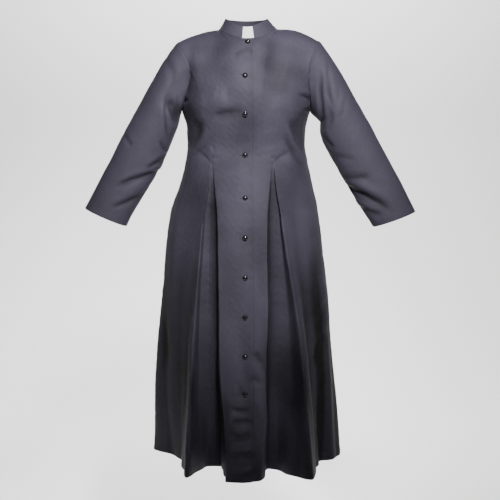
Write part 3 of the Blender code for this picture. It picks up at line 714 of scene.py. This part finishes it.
def flat_map(grid):
    """Where each point lies on the flat cloth, in metres: across from the middle, and down."""
    across = run_across(grid)
    middle = across[:, across.shape[1] // 2]
    return np.stack([across - middle[:, None], run_down(grid)], axis=-1)


def panel(node, first, last, spacing, behind=False, under_lap=False, open_edges=()):
    """One panel of the body between two columns, sewn on all its edges but the open ones."""
    marks = sorted({first, last} | {int(c) for c in LINE_COLUMNS if first < c < last})
    columns = [float(first)]
    for low, high in zip(marks, marks[1:]):
        spans = [cloth(np.linspace(low, high, 7), row, behind) for row in (0.2, 0.6, 1.0, 1.4, 1.75, 2.0)]
        widest = max(np.linalg.norm(np.diff(span, axis=0), axis=-1).sum() for span in spans)
        pieces = max(3, math.ceil(widest / spacing))
        columns += list(low + (high - low) * np.arange(1, pieces + 1) / pieces)
    columns = np.array(columns)
    rows = np.concatenate(
        [
            EDGE_STEPS / YOKE_RUN,
            np.linspace(0, 1, int(YOKE_RUN / spacing))[1:],
            np.linspace(1, 2, int((CHEST - HEM) / spacing))[1:],
        ]
    )
    rows = np.unique(np.concatenate([[0.0], rows]))
    grid, across, out = [], [], []
    for row in rows:
        base = cloth(columns, row, behind)
        rooms = [np.linalg.norm(base[1] - base[0]), np.linalg.norm(base[-2] - base[-1])]
        lead, tail = (np.minimum(EDGE_STEPS / room, np.arange(1, 5) / 5) for room in rooms)
        line = np.concatenate(
            [
                columns[:1],
                columns[0] + (columns[1] - columns[0]) * lead,
                columns[1:-1],
                columns[-1] - (columns[-1] - columns[-2]) * tail[::-1],
                columns[-1:],
            ]
        )
        across.append(line)
        grid.append(cloth(line, row, behind))
    grid, across = np.array(grid), np.array(across)
    # the cloth lies smooth over what is left of the corner below the neck's side
    corner = (NECK_BACK - CENTRE_BACK) if behind else NECK_FRONT
    off_corner = np.abs(np.abs((across - CENTRE_BACK if behind else across)) - abs(corner))
    easing = np.exp(-((off_corner / 7) ** 2))
    easing = easing * ease(0.02, 0.25, rows)[:, None] * ease(1.1, 0.7, rows)[:, None]
    easing *= ease(0, 10 * MM, np.minimum(run_across(grid), run_across(grid)[:, -1:] - run_across(grid)))
    for _ in range(CORNER_PASSES):
        grid[:, 1:-1] += 0.45 * easing[:, 1:-1, None] * (grid[:, :-2] + grid[:, 2:] - 2 * grid[:, 1:-1])
    out = facing(grid)
    if under_lap:
        grid = grid - out * (LAP_STEP * ease(LAP_END, LAP_END - LAP_BLEND, across))[..., None]
        beside = run_across(grid) - run_across(grid)[:, [int(np.searchsorted(columns, EDGE)) + 4]]
        grid = grid - out * (LAP_HOLLOW * np.exp(-(((beside - 1.5 * MM) / (3 * MM)) ** 2)))[..., None]
    folds = body_drape(grid, out) * armhole_holds(grid)
    lift = folds.copy()
    run = run_across(grid)
    for side, away in (("first", run), ("last", run[:, -1:] - run)):
        if side in open_edges:
            near = np.exp(-((away / (9 * MM)) ** 2))
            lift += (LAP_RISE + 0.45 * MM * swells(grid, 33, (0.5, 0.5, 0.028))) * near * (side == "last")
            lift -= 0.7 * MM * np.exp(-((away / (0.8 * MM)) ** 2))
        else:
            lift += seam_lift(away, 30, grid)
    lift += seam_lift(run_down(grid), 31, grid)
    from_hem = run_down(grid)[-1:] - run_down(grid)
    lift -= 0.7 * MM * np.exp(-((from_hem / (0.8 * MM)) ** 2))
    lift += 0.35 * MM * ease(HEM_DEPTH + 1.5 * MM, HEM_DEPTH - 1.5 * MM, from_hem)
    for place, _ in BUTTON_PLACES if not behind else ():
        away = np.linalg.norm(grid - place, axis=-1)
        lift -= 1.2 * MM * np.exp(-((away / (8 * MM)) ** 2)) * ease(0.3, -0.3, out[..., 1])
    # painted highlight along the pressed pleat edges below the waist
    pressed = sum(np.exp(-(((across - c) / 0.35) ** 2)) for c in PRESSED) * ease(-0.40, -0.60, grid[..., 2])
    # painted shade inside the front pleats, between their folds, below the waist
    pleat_hollow_painted_shade = ease(INNER_FOLD, INNER_FOLD + 0.8, np.abs(across))
    pleat_hollow_painted_shade *= ease(OUTER_FOLD, INNER_FOLD + 1.0, np.abs(across))
    pleat_hollow_painted_shade *= ease(-0.38, -0.48, grid[..., 2])
    painted_shading = 0.30 * pressed - 0.95 * pleat_hollow_painted_shade * (not behind)
    # painted shade in the folds' troughs and painted highlight on their ridges
    painted_shading = painted_shading + np.clip(folds / (5 * MM), -0.25 if behind else -0.60, 0.22)
    # painted shade: the cloth is darker low on the sides, towards the hem
    painted_shading -= 1.05 * ease(-0.45, -0.95, grid[..., 2]) * ease(0.09, 0.19, np.abs(grid[..., 0]))
    grid = grid + out * lift[..., None]
    # each sewn edge turns in under the next piece
    sewn = [side not in open_edges for side in ("first", "last")]
    under, ways = grid, facing(grid)
    for turn, at_end in ((sewn[0], 0), (sewn[1], -1)):
        if turn:
            beside = 1 if at_end == 0 else -2
            onward = unit(under[:, at_end] - under[:, beside])
            more = under[:, at_end] + onward * MM - ways[:, at_end] * 1.1 * MM
            parts = [more[:, None], under] if at_end == 0 else [under, more[:, None]]
            under = np.concatenate(parts, axis=1)
            ways = np.pad(ways, ((0, 0), (1, 0) if at_end == 0 else (0, 1), (0, 0)), mode="edge")
            painted_shading = np.pad(painted_shading, ((0, 0), (1, 0) if at_end == 0 else (0, 1)), mode="edge")
    more = under[0] + unit(under[0] - under[1]) * MM - ways[0] * 1.1 * MM
    under, painted_shading = np.concatenate([more[None], under]), np.concatenate([painted_shading[:1], painted_shading])
    piece = shell(node + "_cloth", under, WALL, flat_map(under), painted_shading)
    dress(piece, node, black_cloth)
    return piece, grid, facing(grid)


def stitches(name, lines, length=2.9 * MM, gap=0.9 * MM, radius=0.22 * MM):
    """Rows of thread stitches along lines of (points, directions out), lying just in the cloth."""
    shape = ((-0.5, 0.0), (-0.36, 1.0), (0.36, 1.0), (0.5, 0.0))
    points, faces = [], []
    for line, out in lines:
        run = np.concatenate([[0], np.cumsum(np.linalg.norm(np.diff(line, axis=0), axis=1))])
        starts = np.arange(gap, run[-1] - length, length + gap)
        middles = starts + length / 2
        at = np.stack([np.interp(middles, run, line[:, k]) for k in range(3)], axis=-1)
        ahead = np.stack([np.interp(middles + MM, run, line[:, k]) for k in range(3)], axis=-1)
        up = unit(np.stack([np.interp(middles, run, out[:, k]) for k in range(3)], axis=-1))
        way = unit(ahead - at)
        wide = unit(np.cross(up, way))
        for place, w, s, u in zip(at, way, wide, up):
            first = len(points)
            points.append(place + w * shape[0][0] * length)
            for share, size in shape[1:3]:
                for a, b in ((1, 0), (0, 1), (-1, 0), (0, -1)):
                    points.append(place + w * share * length + (s * a + u * (b * 0.8 + 0.35)) * radius * size)
            points.append(place + w * shape[3][0] * length)
            for k in range(4):
                n = (k + 1) % 4
                faces.append((first, first + 1 + n, first + 1 + k))
                faces.append((first + 1 + k, first + 1 + n, first + 5 + n, first + 5 + k))
                faces.append((first + 9, first + 5 + k, first + 5 + n))
    mesh = bpy.data.meshes.new(name)
    mesh.from_pydata([tuple(p) for p in points], [], faces)
    mesh.shade_smooth()
    made = bpy.data.objects.new(name, mesh)
    bpy.context.scene.collection.objects.link(made)
    made.data.materials.append(thread_finish)
    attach(made, "root")
    return made


def beside_edge(grid, out, away, last=True):
    """The line on a piece that runs down at a distance from its first or last edge."""
    run = run_across(grid)
    line, ways = [], []
    for points, normals, along in zip(grid, out, run):
        at = along[-1] - away if last else away
        line.append([np.interp(at, along, points[:, k]) for k in range(3)])
        ways.append([np.interp(at, along, normals[:, k]) for k in range(3)])
    return np.array(line), np.array(ways)


def beside_end(grid, out, away, bottom=True):
    """The line that runs across a piece at a distance above its hem, or below its top."""
    turned = np.moveaxis(grid, 0, 1), np.moveaxis(out, 0, 1)
    return beside_edge(*turned, away, bottom)


thread_finish = cloth_finish("black thread", (0.040, 0.036, 0.046), 0.5)

# ---------------------------------------------------------------------------------------------
# The fronts, from centre front to the princess seams. The right one laps over the left by 20 mm,
# with a folded edge stitched 5 mm in, and its outer part turns in to make half of the pleat.
right_front, right_grid, right_out = panel("front_right", -PRINCESS, EDGE, FRONT_MESH, open_edges=("last",))
left_front, left_grid, left_out = panel(
    "front_left", -EDGE, PRINCESS, UNDER_MESH, under_lap=True, open_edges=("first",)
)


def drawn(line, *pieces):
    """The line, given as millimetres across and up, laid on the front of the pieces."""
    faces = [
        BVHTree.FromPolygons([v.co for v in p.data.vertices], [f.vertices for f in p.data.polygons])
        for p in pieces
    ]
    found, ways = [], []
    for x, z in rounded(line):
        hits = [tree.ray_cast(Vector((x, -1, z)), Vector((0, 1, 0))) for tree in faces]
        hits = [hit[:2] for hit in hits if hit[0]]
        if hits:
            place, way = min(hits, key=lambda hit: hit[0].y)
            found.append(place)
            ways.append(way)
    return np.array(found), np.array(ways)


# the neck facing is caught down with a line of stitches, and each pleat is tacked at its top
neck_line = ((-81, -36), (-69, -47), (-53, -56), (-25, -60), (0, -57), (20, -54), (41, -48), (61, -36))
stitches(
    "front_stitching",
    [beside_edge(right_grid, right_out, 5 * MM), drawn(neck_line, right_front, left_front)],
)
tacks = [
    drawn(((-103, -371.5), (-98, -372), (-93, -373)), right_front, left_front),
    drawn(((67, -373), (72, -372), (77, -371.5)), right_front, left_front),
]
stitches("pleat_tacks", tacks, 0.9 * MM, 0.12 * MM, 0.5 * MM)

# ---------------------------------------------------------------------------------------------
# The side fronts, from the princess seam to the side seam. Each holds the other half of its pleat,
# which falls open from the tack at the waist, and flares out over the hip.
side_left, side_left_grid, side_left_out = panel("side_front_left", PRINCESS, SIDE, SIDE_MESH)
side_right, side_right_grid, side_right_out = panel("side_front_right", -SIDE, -PRINCESS, SIDE_MESH)
waist_lines = [
    drawn(((-178, -424), (-143, -426), (-112, -431)), side_right),
    drawn(((181, -425), (125, -427), (90, -431)), side_left),
]
stitches("waist_stitching", waist_lines)

# ---------------------------------------------------------------------------------------------
# The side backs and the back. They fit to the waist and flare below it in soft unpressed flutes.
side_back_left, sbl_grid, sbl_out = panel("side_back_left", SIDE, BACK_PRINCESS, BACK_MESH, behind=True)
side_back_right, sbr_grid, sbr_out = panel(
    "side_back_right", ROUND - BACK_PRINCESS, ROUND - SIDE, BACK_MESH, behind=True
)
back, back_grid, back_out = panel("back", BACK_PRINCESS, ROUND - BACK_PRINCESS, BACK_MESH, behind=True)

# the hem is turned up 25 mm and stitched all round
hem_lines = [
    beside_end(grid, out, HEM_DEPTH)
    for grid, out in (
        (right_grid, right_out),
        (left_grid, left_out),
        (side_left_grid, side_left_out),
        (side_right_grid, side_right_out),
        (sbl_grid, sbl_out),
        (sbr_grid, sbr_out),
        (back_grid, back_out),
    )
]
stitches("hem_stitching", hem_lines)

# ---------------------------------------------------------------------------------------------
# The sleeves: one piece each, set into the armhole with a little ease over the head, long and
# straight, with a plain cuff turned up 20 mm. They crease round the inside of the elbow.

# Sleeves: metres along from the armhole's centre, reach outwards and inwards of its axis, half its
# depth, and how far its middle lies forward.
SLEEVES = {
    "left": (
        # along, outer, inner, half depth, forward
        (0.125, 0.0730, 0.0500, 0.064, 0.004),
        (0.155, 0.0735, 0.0665, 0.062, 0.006),
        (0.185, 0.0735, 0.0735, 0.060, 0.008),
        (0.260, 0.0725, 0.0745, 0.056, 0.012),
        (0.330, 0.0715, 0.0735, 0.052, 0.018),
        (0.400, 0.0695, 0.0715, 0.048, 0.025),
        (0.450, 0.0675, 0.0665, 0.045, 0.030),
        (0.483, 0.0660, 0.0655, 0.043, 0.034),
    ),
    "right": (
        (0.125, 0.0700, 0.0590, 0.064, 0.004),
        (0.155, 0.0710, 0.0640, 0.062, 0.006),
        (0.190, 0.0715, 0.0680, 0.060, 0.008),
        (0.250, 0.0715, 0.0720, 0.056, 0.012),
        (0.310, 0.0715, 0.0675, 0.052, 0.018),
        (0.370, 0.0720, 0.0640, 0.048, 0.024),
        (0.420, 0.0710, 0.0615, 0.045, 0.029),
        (0.467, 0.0700, 0.0640, 0.043, 0.034),
    ),
}
SLEEVE_CENTRE = {"left": (0.200, -0.1425), "right": (-0.198, -0.1460)}
SLEEVE_SLOPE = {"left": 29.6, "right": -28.0}
CUFF_TILT = {"left": 0.011, "right": 0.005}
HEAD_ROLL = {"left": 0.07, "right": 0.05}

CUFF_DEPTH = 20 * MM
SLEEVE_FOLDS = {
    # wearer's side, face: width, depth, start, end, line
    ("right", "front"): (
        (8, 2.0, 0.7, 0.0, ((-236, -88), (-215, -140), (-222, -196))),
        (12, 10.0, 0.2, 0.9, ((-229, -208), (-217, -236), (-206, -264))),
        (5, 3.0, 0.6, 0.5, ((-202, -206), (-201, -232), (-203, -258))),
        (4.5, 5.0, 0.3, 0.0, ((-236, -212), (-238, -250), (-235, -290), (-231, -330))),
        (5, 2.8, 0.0, 0.5, ((-257, -326), (-247, -349), (-236, -370))),
        (6, 2.0, 0.9, 0.0, ((-362, -312), (-349, -331), (-334, -352))),
        (6, 4.6, 1.0, 0.0, ((-248, -384), (-271, -399), (-300, -414))),
        (7, 6.0, 1.0, 0.0, ((-268, -423), (-300, -434), (-350, -450), (-394, -470))),
        (7, 4.6, 1.0, 0.0, ((-306, -488), (-353, -510), (-408, -530))),
        (12, -2.2, 0.0, 0.0, ((-290, -450), (-340, -474), (-384, -494))),
    ),
    ("left", "front"): (
        (4.5, 3.2, 0.2, 0.0, ((237, -100), (236, -150), (238, -195), (252, -244))),
        (5, 1.4, 0.2, 0.0, ((264, -160), (266, -196), (262, -232))),
        (4.5, 5.0, 0.3, 0.3, ((217, -134), (214, -190), (220, -240), (225, -304))),
        (5, 1.8, 0.4, 0.3, ((240, -236), (246, -262), (240, -296))),
        (6, 1.6, 0.0, 0.0, ((286, -196), (280, -240), (262, -280))),
        (6, 3.4, 1.0, 0.0, ((226, -318), (240, -337), (256, -358))),
        (7, 1.6, 1.0, 0.0, ((264, -376), (296, -381), (324, -387))),
        (10, 3.4, 1.0, 0.0, ((294, -441), (332, -438), (368, -436))),
        (12, 9.5, 1.0, 0.1, ((304, -474), (345, -494), (386, -514), (424, -534))),
        (9, 5.4, 1.0, 0.0, ((336, -530), (372, -541), (404, -547))),
        (12, -2.6, 0.0, 0.0, ((318, -458), (360, -476), (400, -496))),
    ),
    ("right", "back"): (
        (10, 3.6, 0.8, 0.0, ((-206, -150), (-222, -190), (-238, -214))),
        (7, 3.2, 1.0, 0.0, ((-246, -372), (-284, -392), (-322, -402))),
        (8, 3.6, 1.0, 0.0, ((-268, -416), (-318, -436), (-368, -448))),
        (8, 3.2, 0.8, 0.0, ((-296, -462), (-344, -486), (-386, -500))),
    ),
    ("left", "back"): (
        (10, 3.6, 0.8, 0.0, ((210, -140), (228, -184), (246, -212))),
        (7, 3.4, 1.0, 0.0, ((252, -362), (290, -384), (330, -392))),
        (8, 3.6, 1.0, 0.0, ((276, -408), (322, -430), (374, -440))),
        (8, 3.2, 0.8, 0.0, ((304, -456), (350, -480), (398, -496))),
    ),
}


def sleeve(node, side):
    """One sleeve: its built piece and the grid of its outer face, rows running down to the cuff."""
    sign = 1 if side == "left" else -1
    shares = np.linspace(0, 1, 57)
    loop, onward = [], []
    for share, behind in [(t, False) for t in shares] + [(t, True) for t in shares[-2:0:-1]]:
        edge, inside = (SIDE, SIDE + 0.5) if behind else (SIDE, SIDE - 0.5)
        columns = np.array([edge, inside]) if side == "left" else -np.array([edge, inside])
        near = cloth(columns % ROUND if behind else columns, min(share, 0.99), behind)
        loop.append(armhole(share, side, behind))
        onward.append(near[0] - near[1])
    loop, onward = np.array(loop), np.array(onward)
    turns = np.concatenate([np.pi * shares, np.pi * (2 - shares[-2:0:-1])])
    slope = math.radians(SLEEVE_SLOPE[side])
    along = np.array([math.sin(slope), 0, -math.cos(slope)])
    outwards = np.array([sign * math.cos(slope), 0, sign * math.sin(slope)])
    centre_x, centre_z = SLEEVE_CENTRE[side]
    table = np.array(SLEEVES[side])
    downs = np.arange(table[0, 0], table[-1, 0], 3.4 * MM)
    downs = np.append(downs, table[-1, 0] - np.array([3.0, 1.9, 1.1, 0.5, 0.0]) * MM)
    downs = np.unique(downs)
    sizes = monotone(table[:, 0], table[:, 1:].T, downs)
    rings = []
    for down, (outer, inner, depth, forward) in zip(downs, sizes.T):
        tilt = CUFF_TILT[side] * ease(table[-2, 0], table[-1, 0], down)
        ring = np.array([centre_x, -forward, centre_z]) + along * down + outwards * (outer - inner) / 2
        ring = ring + np.cos(turns)[:, None] * ((outer + inner) / 2 * outwards + tilt * along)
        ring[:, 1] -= depth * np.sin(turns)
        rings.append(ring)
    rim = unit(np.roll(loop, -1, axis=0) - np.roll(loop, 1, axis=0))
    onward = unit(onward - rim * np.sum(onward * rim, axis=-1, keepdims=True))
    under = ((1 - np.cos(turns)) / 2)[:, None]
    leave = unit(onward * (1 - under) + along * under)
    bend = np.linalg.norm(np.cross(leave, onward), axis=-1, keepdims=True)
    start = loop + leave * (WALL * bend - 1.0 * MM)
    first = rings[0]
    gap = np.linalg.norm(first - start, axis=-1, keepdims=True)
    reach = HEAD_ROLL[side] * (1 - under) + gap * under
    stations = np.concatenate([[0, 0.005, 0.012, 0.02, 0.032], np.linspace(0.05, 1, 27)[:-1]])
    head = [hermite(start, leave * reach, first, along * gap, np.full(len(turns), t)) for t in stations]
    grid = np.array(head + rings)
    if side == "left":
        grid = grid[:, ::-1]
    out = facing(grid, ring=True)
    lift = np.zeros(grid.shape[:2])
    for face, weight in (("front", ease(0.25, -0.25, out[..., 1])), ("back", ease(-0.25, 0.25, out[..., 1]))):
        lift += sum(weight * fold(grid, *row) for row in SLEEVE_FOLDS[side, face])
    folds = lift.copy()
    lift += 0.22 * MM * swells(grid, 21 if sign > 0 else 22, (0.060, 0.060, 0.060))
    lift += 0.8 * MM * swells(grid, 23, (0.14, 0.14, 0.24))
    lift += 0.07 * MM * swells(grid, 24, (0.013, 0.013, 0.013))
    lift *= armhole_holds(grid)
    away = run_down(grid)
    lift -= 0.9 * MM * np.exp(-((away / (1.3 * MM)) ** 2))
    over = ease(-0.09, -0.06, grid[..., 2])
    lift += seam_lift(away, 32, grid) + 0.5 * MM * over * np.exp(-(((away - 7 * MM) / (6 * MM)) ** 2))
    from_cuff = away[-1:] - away
    lift -= 0.7 * MM * np.exp(-((from_cuff / (0.8 * MM)) ** 2))
    lift += 0.35 * MM * ease(CUFF_DEPTH + 1.5 * MM, CUFF_DEPTH - 1.5 * MM, from_cuff)
    grid = grid + out * lift[..., None]
    # painted shade in the creases' troughs and painted highlight on their ridges
    painted_shading = np.clip(folds / (5 * MM), -0.60, 0.22)
    piece = shell(node + "_cloth", grid, WALL, flat_map(grid), painted_shading, ring=True)
    dress(piece, node, black_cloth)
    return piece, grid, facing(grid, ring=True)


left_sleeve, left_sleeve_grid, left_sleeve_out = sleeve("sleeve_left", "left")
right_sleeve, right_sleeve_grid, right_sleeve_out = sleeve("sleeve_right", "right")
cuff_lines = []
for grid, out in ((left_sleeve_grid, left_sleeve_out), (right_sleeve_grid, right_sleeve_out)):
    line, ways = beside_end(grid, out, CUFF_DEPTH)
    cuff_lines.append((np.append(line, line[:1], axis=0), np.append(ways, ways[:1], axis=0)))
stitches("cuff_stitching", cuff_lines)

# ---------------------------------------------------------------------------------------------
# The band collar: two layers of the cloth over a stiffener, folded at the top and stitched close
# to its edges. Its ends stand apart in front, over a white tab that slips in behind them.
COLLAR_TOP_CENTRE = -0.0015
COLLAR_TOP_HALF_WIDTH = 0.0620
COLLAR_TOP_FRONT = 0.069
COLLAR_TOP_BACK = 0.056
COLLAR_TOP_SIDE_HEIGHT = 0.026
COLLAR_TOP_FRONT_DROP = 0.027
COLLAR_TOP_BACK_DROP = 0.002
COLLAR_ENDS = (11.4, 348.1)
COLLAR_LEAN = ((-70, -11.9, 11.4, 70), (0, 3.5, 5.3, 0))  # degrees round, and its upper edge's lead there
COLLAR_WALL = 2.5 * MM
COLLAR_TUCK = 0.05  # share of its height that the collar's foot runs in under the body
TAB_WALL = 1.0 * MM
TAB_GAP = 0.5 * MM  # between the collar and the tab behind it
BAND_HOLLOW = 0.8 * MM  # how far the strips curve in at half their height
TAB_TUCK = 11.0  # degrees that the tab runs behind each collar end
TAB_HEIGHTS = (0.01, 0.97)  # shares of the collar's height


def collar_edges(degrees):
    """The collar's lower and upper edges at those degrees from centre front."""
    turn = np.radians(degrees + np.interp((degrees + 180) % 360 - 180, *COLLAR_LEAN))
    front = np.cos(turn) > 0
    depth = np.where(front, COLLAR_TOP_FRONT, COLLAR_TOP_BACK)
    drop = np.where(front, COLLAR_TOP_FRONT_DROP, COLLAR_TOP_BACK_DROP)
    upper = np.stack(
        [
            COLLAR_TOP_CENTRE + COLLAR_TOP_HALF_WIDTH * np.sin(turn),
            -depth * np.cos(turn),
            COLLAR_TOP_SIDE_HEIGHT - drop * np.cos(turn) ** 2,
        ],
        axis=-1,
    )
    return neck_point(degrees), upper


def band(name, degrees, low, high, inset, wall, hollow, rows=16):
    """A stiff strip on the collar's slope, its edges rounded, a little hollow in its height."""
    lower, upper = collar_edges(degrees)
    climb = upper - lower
    close = np.array([0, 0.012, 0.03, 0.055, 0.09])
    shares = np.concatenate([close, np.linspace(0.13, 0.87, rows), 1 - close[::-1]])
    heights = (high + (low - high) * shares)[:, None, None]
    grid = lower + climb * heights
    out = facing(grid)
    edge = np.minimum(run_down(grid), run_down(grid)[-1:] - run_down(grid))
    along = run_across(grid)
    edge = np.minimum(edge, np.minimum(along, along[:, -1:] - along))
    lift = -inset - hollow * np.sin(np.pi * shares)[:, None]
    lift = lift - 0.42 * wall * np.exp(-((edge / (0.35 * wall)) ** 2))
    grid = grid + out * lift[..., None]
    return shell(name, grid, wall * 0.9, flat_map(grid)), grid, facing(grid)


inner_steps = np.array([0.0, 0.25, 0.6, 1.1, 1.8])
collar_first, collar_last = COLLAR_ENDS
collar_at = np.concatenate(
    [
        collar_first + inner_steps,
        np.linspace(collar_first + 3, collar_last - 3, 150),
        collar_last - inner_steps[::-1],
    ]
)
collar, collar_grid, collar_out = band(
    "collar_cloth", collar_at, -COLLAR_TUCK, 1.0, 0.0, COLLAR_WALL, BAND_HOLLOW
)
dress(collar, "collar", black_cloth)
collar_lines = [
    beside_end(collar_grid, collar_out, 3.2 * MM, bottom=False),
    beside_end(collar_grid, collar_out, 2.6 * MM),
    beside_edge(collar_grid, collar_out, 3.0 * MM, last=False),
    beside_edge(collar_grid, collar_out, 3.0 * MM),
]
stitches("collar_stitching", collar_lines, 2.4 * MM, 0.7 * MM, 0.2 * MM)


def plain_finish(name, colour, roughness, grain=None):
    """One even colour. grain is a fine bump's noise scale, its detail and its strength."""
    material = bpy.data.materials.new(name)
    material.use_nodes = True
    tree = material.node_tree
    shader = tree.nodes["Principled BSDF"]
    shader.inputs["Base Color"].default_value = (*colour, 1)
    shader.inputs["Roughness"].default_value = roughness
    if grain:
        scale, detail, strength = grain
        noise = shader_node(tree, "ShaderNodeTexNoise", Scale=scale, Detail=detail)
        bump = shader_node(tree, "ShaderNodeBump", Strength=strength, Distance=0.05 * MM)
        link(tree, noise.outputs[0], bump.inputs["Height"])
        link(tree, bump.outputs[0], shader.inputs["Normal"])
    return material


tab_finish = plain_finish("white tab", (0.83, 0.83, 0.81), 0.42, (900.0, 2.0, 0.12))
tab_at = np.linspace(COLLAR_ENDS[1] - 360 - TAB_TUCK, COLLAR_ENDS[0] + TAB_TUCK, 41)
tab = band("tab_insert", tab_at, *TAB_HEIGHTS, COLLAR_WALL + TAB_GAP, TAB_WALL, BAND_HOLLOW)[0]
dress(tab, "collar_tab", tab_finish)

# ---------------------------------------------------------------------------------------------
# Ten buttons: turned domes of polished black plastic on a shank, each in a worked buttonhole that
# runs across the right front, its two sides overcast in thread with a bar at each end.
button_finish = plain_finish("polished black plastic", (0.010, 0.010, 0.012), 0.16, (420.0, 3.0, 0.05))
shader = button_finish.node_tree.nodes["Principled BSDF"]
shader.inputs["Coat Weight"].default_value = 0.5
shader.inputs["Coat Roughness"].default_value = 0.06

BUTTON_PROFILE = (
    # share of the radius, share of the dome's height
    (0.00, 1.000),
    (0.16, 0.990),
    (0.32, 0.955),
    (0.48, 0.890),
    (0.62, 0.800),
    (0.74, 0.690),
    (0.84, 0.560),
    (0.905, 0.440),
    (0.93, 0.400),
    (0.97, 0.385),
    (0.995, 0.330),
    (1.00, 0.250),
    (0.985, 0.150),
    (0.93, 0.060),
    (0.82, 0.010),
    (0.40, 0.000),
    (0.30, -0.10),
    (0.22, -0.28),
    (0.00, -0.28),
)
AROUND = 40
hole_lines = []
for number, (place, out) in enumerate(BUTTON_PLACES, 1):
    out = unit(out)
    points, faces = [], []
    for radius, height in BUTTON_PROFILE:
        for turn in 2 * math.pi * np.arange(AROUND) / AROUND:
            reach = max(radius, 1e-4) * BUTTON_RADIUS
            points.append((reach * math.cos(turn), reach * math.sin(turn), height * BUTTON_DOME))
    for ring in range(len(BUTTON_PROFILE) - 1):
        for k in range(AROUND):
            n = (k + 1) % AROUND
            a, b = ring * AROUND, (ring + 1) * AROUND
            faces.append((a + k, b + k, b + n, a + n))
    mesh = bpy.data.meshes.new(f"button_{number:02d}_dome")
    mesh.from_pydata(points, [], faces)
    mesh.shade_smooth()
    button = bpy.data.objects.new(mesh.name, mesh)
    bpy.context.scene.collection.objects.link(button)
    button.rotation_mode = "QUATERNION"
    button.rotation_quaternion = Vector(out).to_track_quat("Z", "Y")
    button.location = place + out * 0.4 * MM
    dress(button, f"button_{number:02d}", button_finish)

    # the buttonhole, on the cloth's own face, from just past the button's shank
    row = int(np.argmin(np.linalg.norm(right_grid - place, axis=-1).min(axis=1)))
    across = right_grid[row, :, 0] - place[0]
    at = np.linspace(-15.5 * MM, 3.5 * MM, 24)
    middle = np.stack([np.interp(at, across, right_grid[row, :, k]) for k in range(3)], axis=-1)
    ways = np.stack([np.interp(at, across, right_out[row, :, k]) for k in range(3)], axis=-1)
    up = unit(np.cross(unit(np.gradient(middle, axis=0)), ways))
    for offset in (-0.95 * MM, 0.95 * MM):
        for spot, way, rise in zip(middle, ways, up):
            centre = spot + rise * offset
            half = rise * 0.85 * MM
            hole_lines.append((np.array([centre - half, centre + half]), np.array([way, way])))
    for end in (0, -1):
        spot, way, rise = middle[end], ways[end], up[end]
        half = rise * 1.9 * MM
        hole_lines.append((np.array([spot - half, spot + half]), np.array([way, way])))
stitches("buttonhole_stitching", hole_lines, 1.55 * MM, 0.05 * MM, 0.30 * MM)

# ---------------------------------------------------------------------------------------------
# The stage: a pale floor that curves up into a wall behind the robe, a soft spot high in front on
# the wearer's left, a weak narrow one on the right, and a wide light that reaches the floor alone.
FLOOR, FLOOR_HALF_WIDTH, FLOOR_FRONT = -2.0, 7.0, -4.5
CURVE_START, CURVE_RADIUS, WALL_TOP = 2.6, 1.8, 6.0
curve = [
    (CURVE_START + CURVE_RADIUS * math.sin(t), CURVE_RADIUS - CURVE_RADIUS * math.cos(t))
    for t in np.linspace(0, math.pi / 2, 18)[1:]
]
profile = [(FLOOR_FRONT, 0.0), (CURVE_START, 0.0)] + curve + [(CURVE_START + CURVE_RADIUS, WALL_TOP)]
sweep = [(side * FLOOR_HALF_WIDTH, y, FLOOR + z) for y, z in profile for side in (-1, 1)]
floor_mesh = bpy.data.meshes.new("floor")
floor_mesh.from_pydata(sweep, [], [(k, k + 1, k + 3, k + 2) for k in range(0, len(sweep) - 2, 2)])
floor_mesh.shade_smooth()
floor = bpy.data.objects.new("floor", floor_mesh)
floor_mesh.materials.append(plain_finish("pale floor", (0.80, 0.80, 0.80), 0.9))
bpy.context.scene.collection.objects.link(floor)


def hang_light(name, kind, power, place, aim, colour=(1.0, 1.0, 1.0)):
    """A light of that kind and power, turned towards its aim."""
    data = bpy.data.lights.new(name, kind)
    data.energy = power
    data.color = colour
    lamp = bpy.data.objects.new(name, data)
    lamp.location = place
    lamp.rotation_euler = (Vector(aim) - Vector(place)).to_track_quat("-Z", "Y").to_euler()
    bpy.context.scene.collection.objects.link(lamp)
    return lamp


for name, power, cone, softness, place, aim in (
    ("key", 560, 43, 0.16, (0.38, -2.0, 0.98), (-0.005, -0.1, -0.23)),
    ("fill", 25, 14, 0.20, (-0.35, -2.0, 0.50), (-0.08, -0.12, -0.15)),
):
    spot = hang_light(name, "SPOT", power, place, aim, (0.97, 0.95, 1.0)).data
    spot.spot_size = math.radians(cone)
    spot.spot_blend = 1.0
    spot.shadow_soft_size = softness
sweep_light = hang_light("sweep", "AREA", 520, (0.0, 2.4, 2.6), (0.0, 3.8, -1.6))
sweep_light.data.shape = "DISK"
sweep_light.data.size = 3.0
lit = bpy.data.collections.new("lit by the sweep light")
lit.objects.link(floor)
sweep_light.light_linking.receiver_collection = lit
world = bpy.data.worlds.new("studio")
bpy.context.scene.world = world
world.use_nodes = True
world.node_tree.nodes["Background"].inputs["Color"].default_value = (1.0, 0.88, 0.86, 1)
world.node_tree.nodes["Background"].inputs["Strength"].default_value = 0.02

camera_data = bpy.data.cameras.new("camera")
SENSOR, PICTURE, FOCUS, TILT = 36, 500, 1033, 130  # millimetres, then pixels
camera_data.sensor_width = SENSOR
camera_data.lens = SENSOR * FOCUS / PICTURE
camera = bpy.data.objects.new("camera", camera_data)
camera.location = (0.009, -3.1, -0.27)
camera.rotation_euler = (math.pi / 2 - math.atan(TILT / FOCUS), 0, 0)
bpy.context.scene.collection.objects.link(camera)
bpy.context.scene.camera = camera
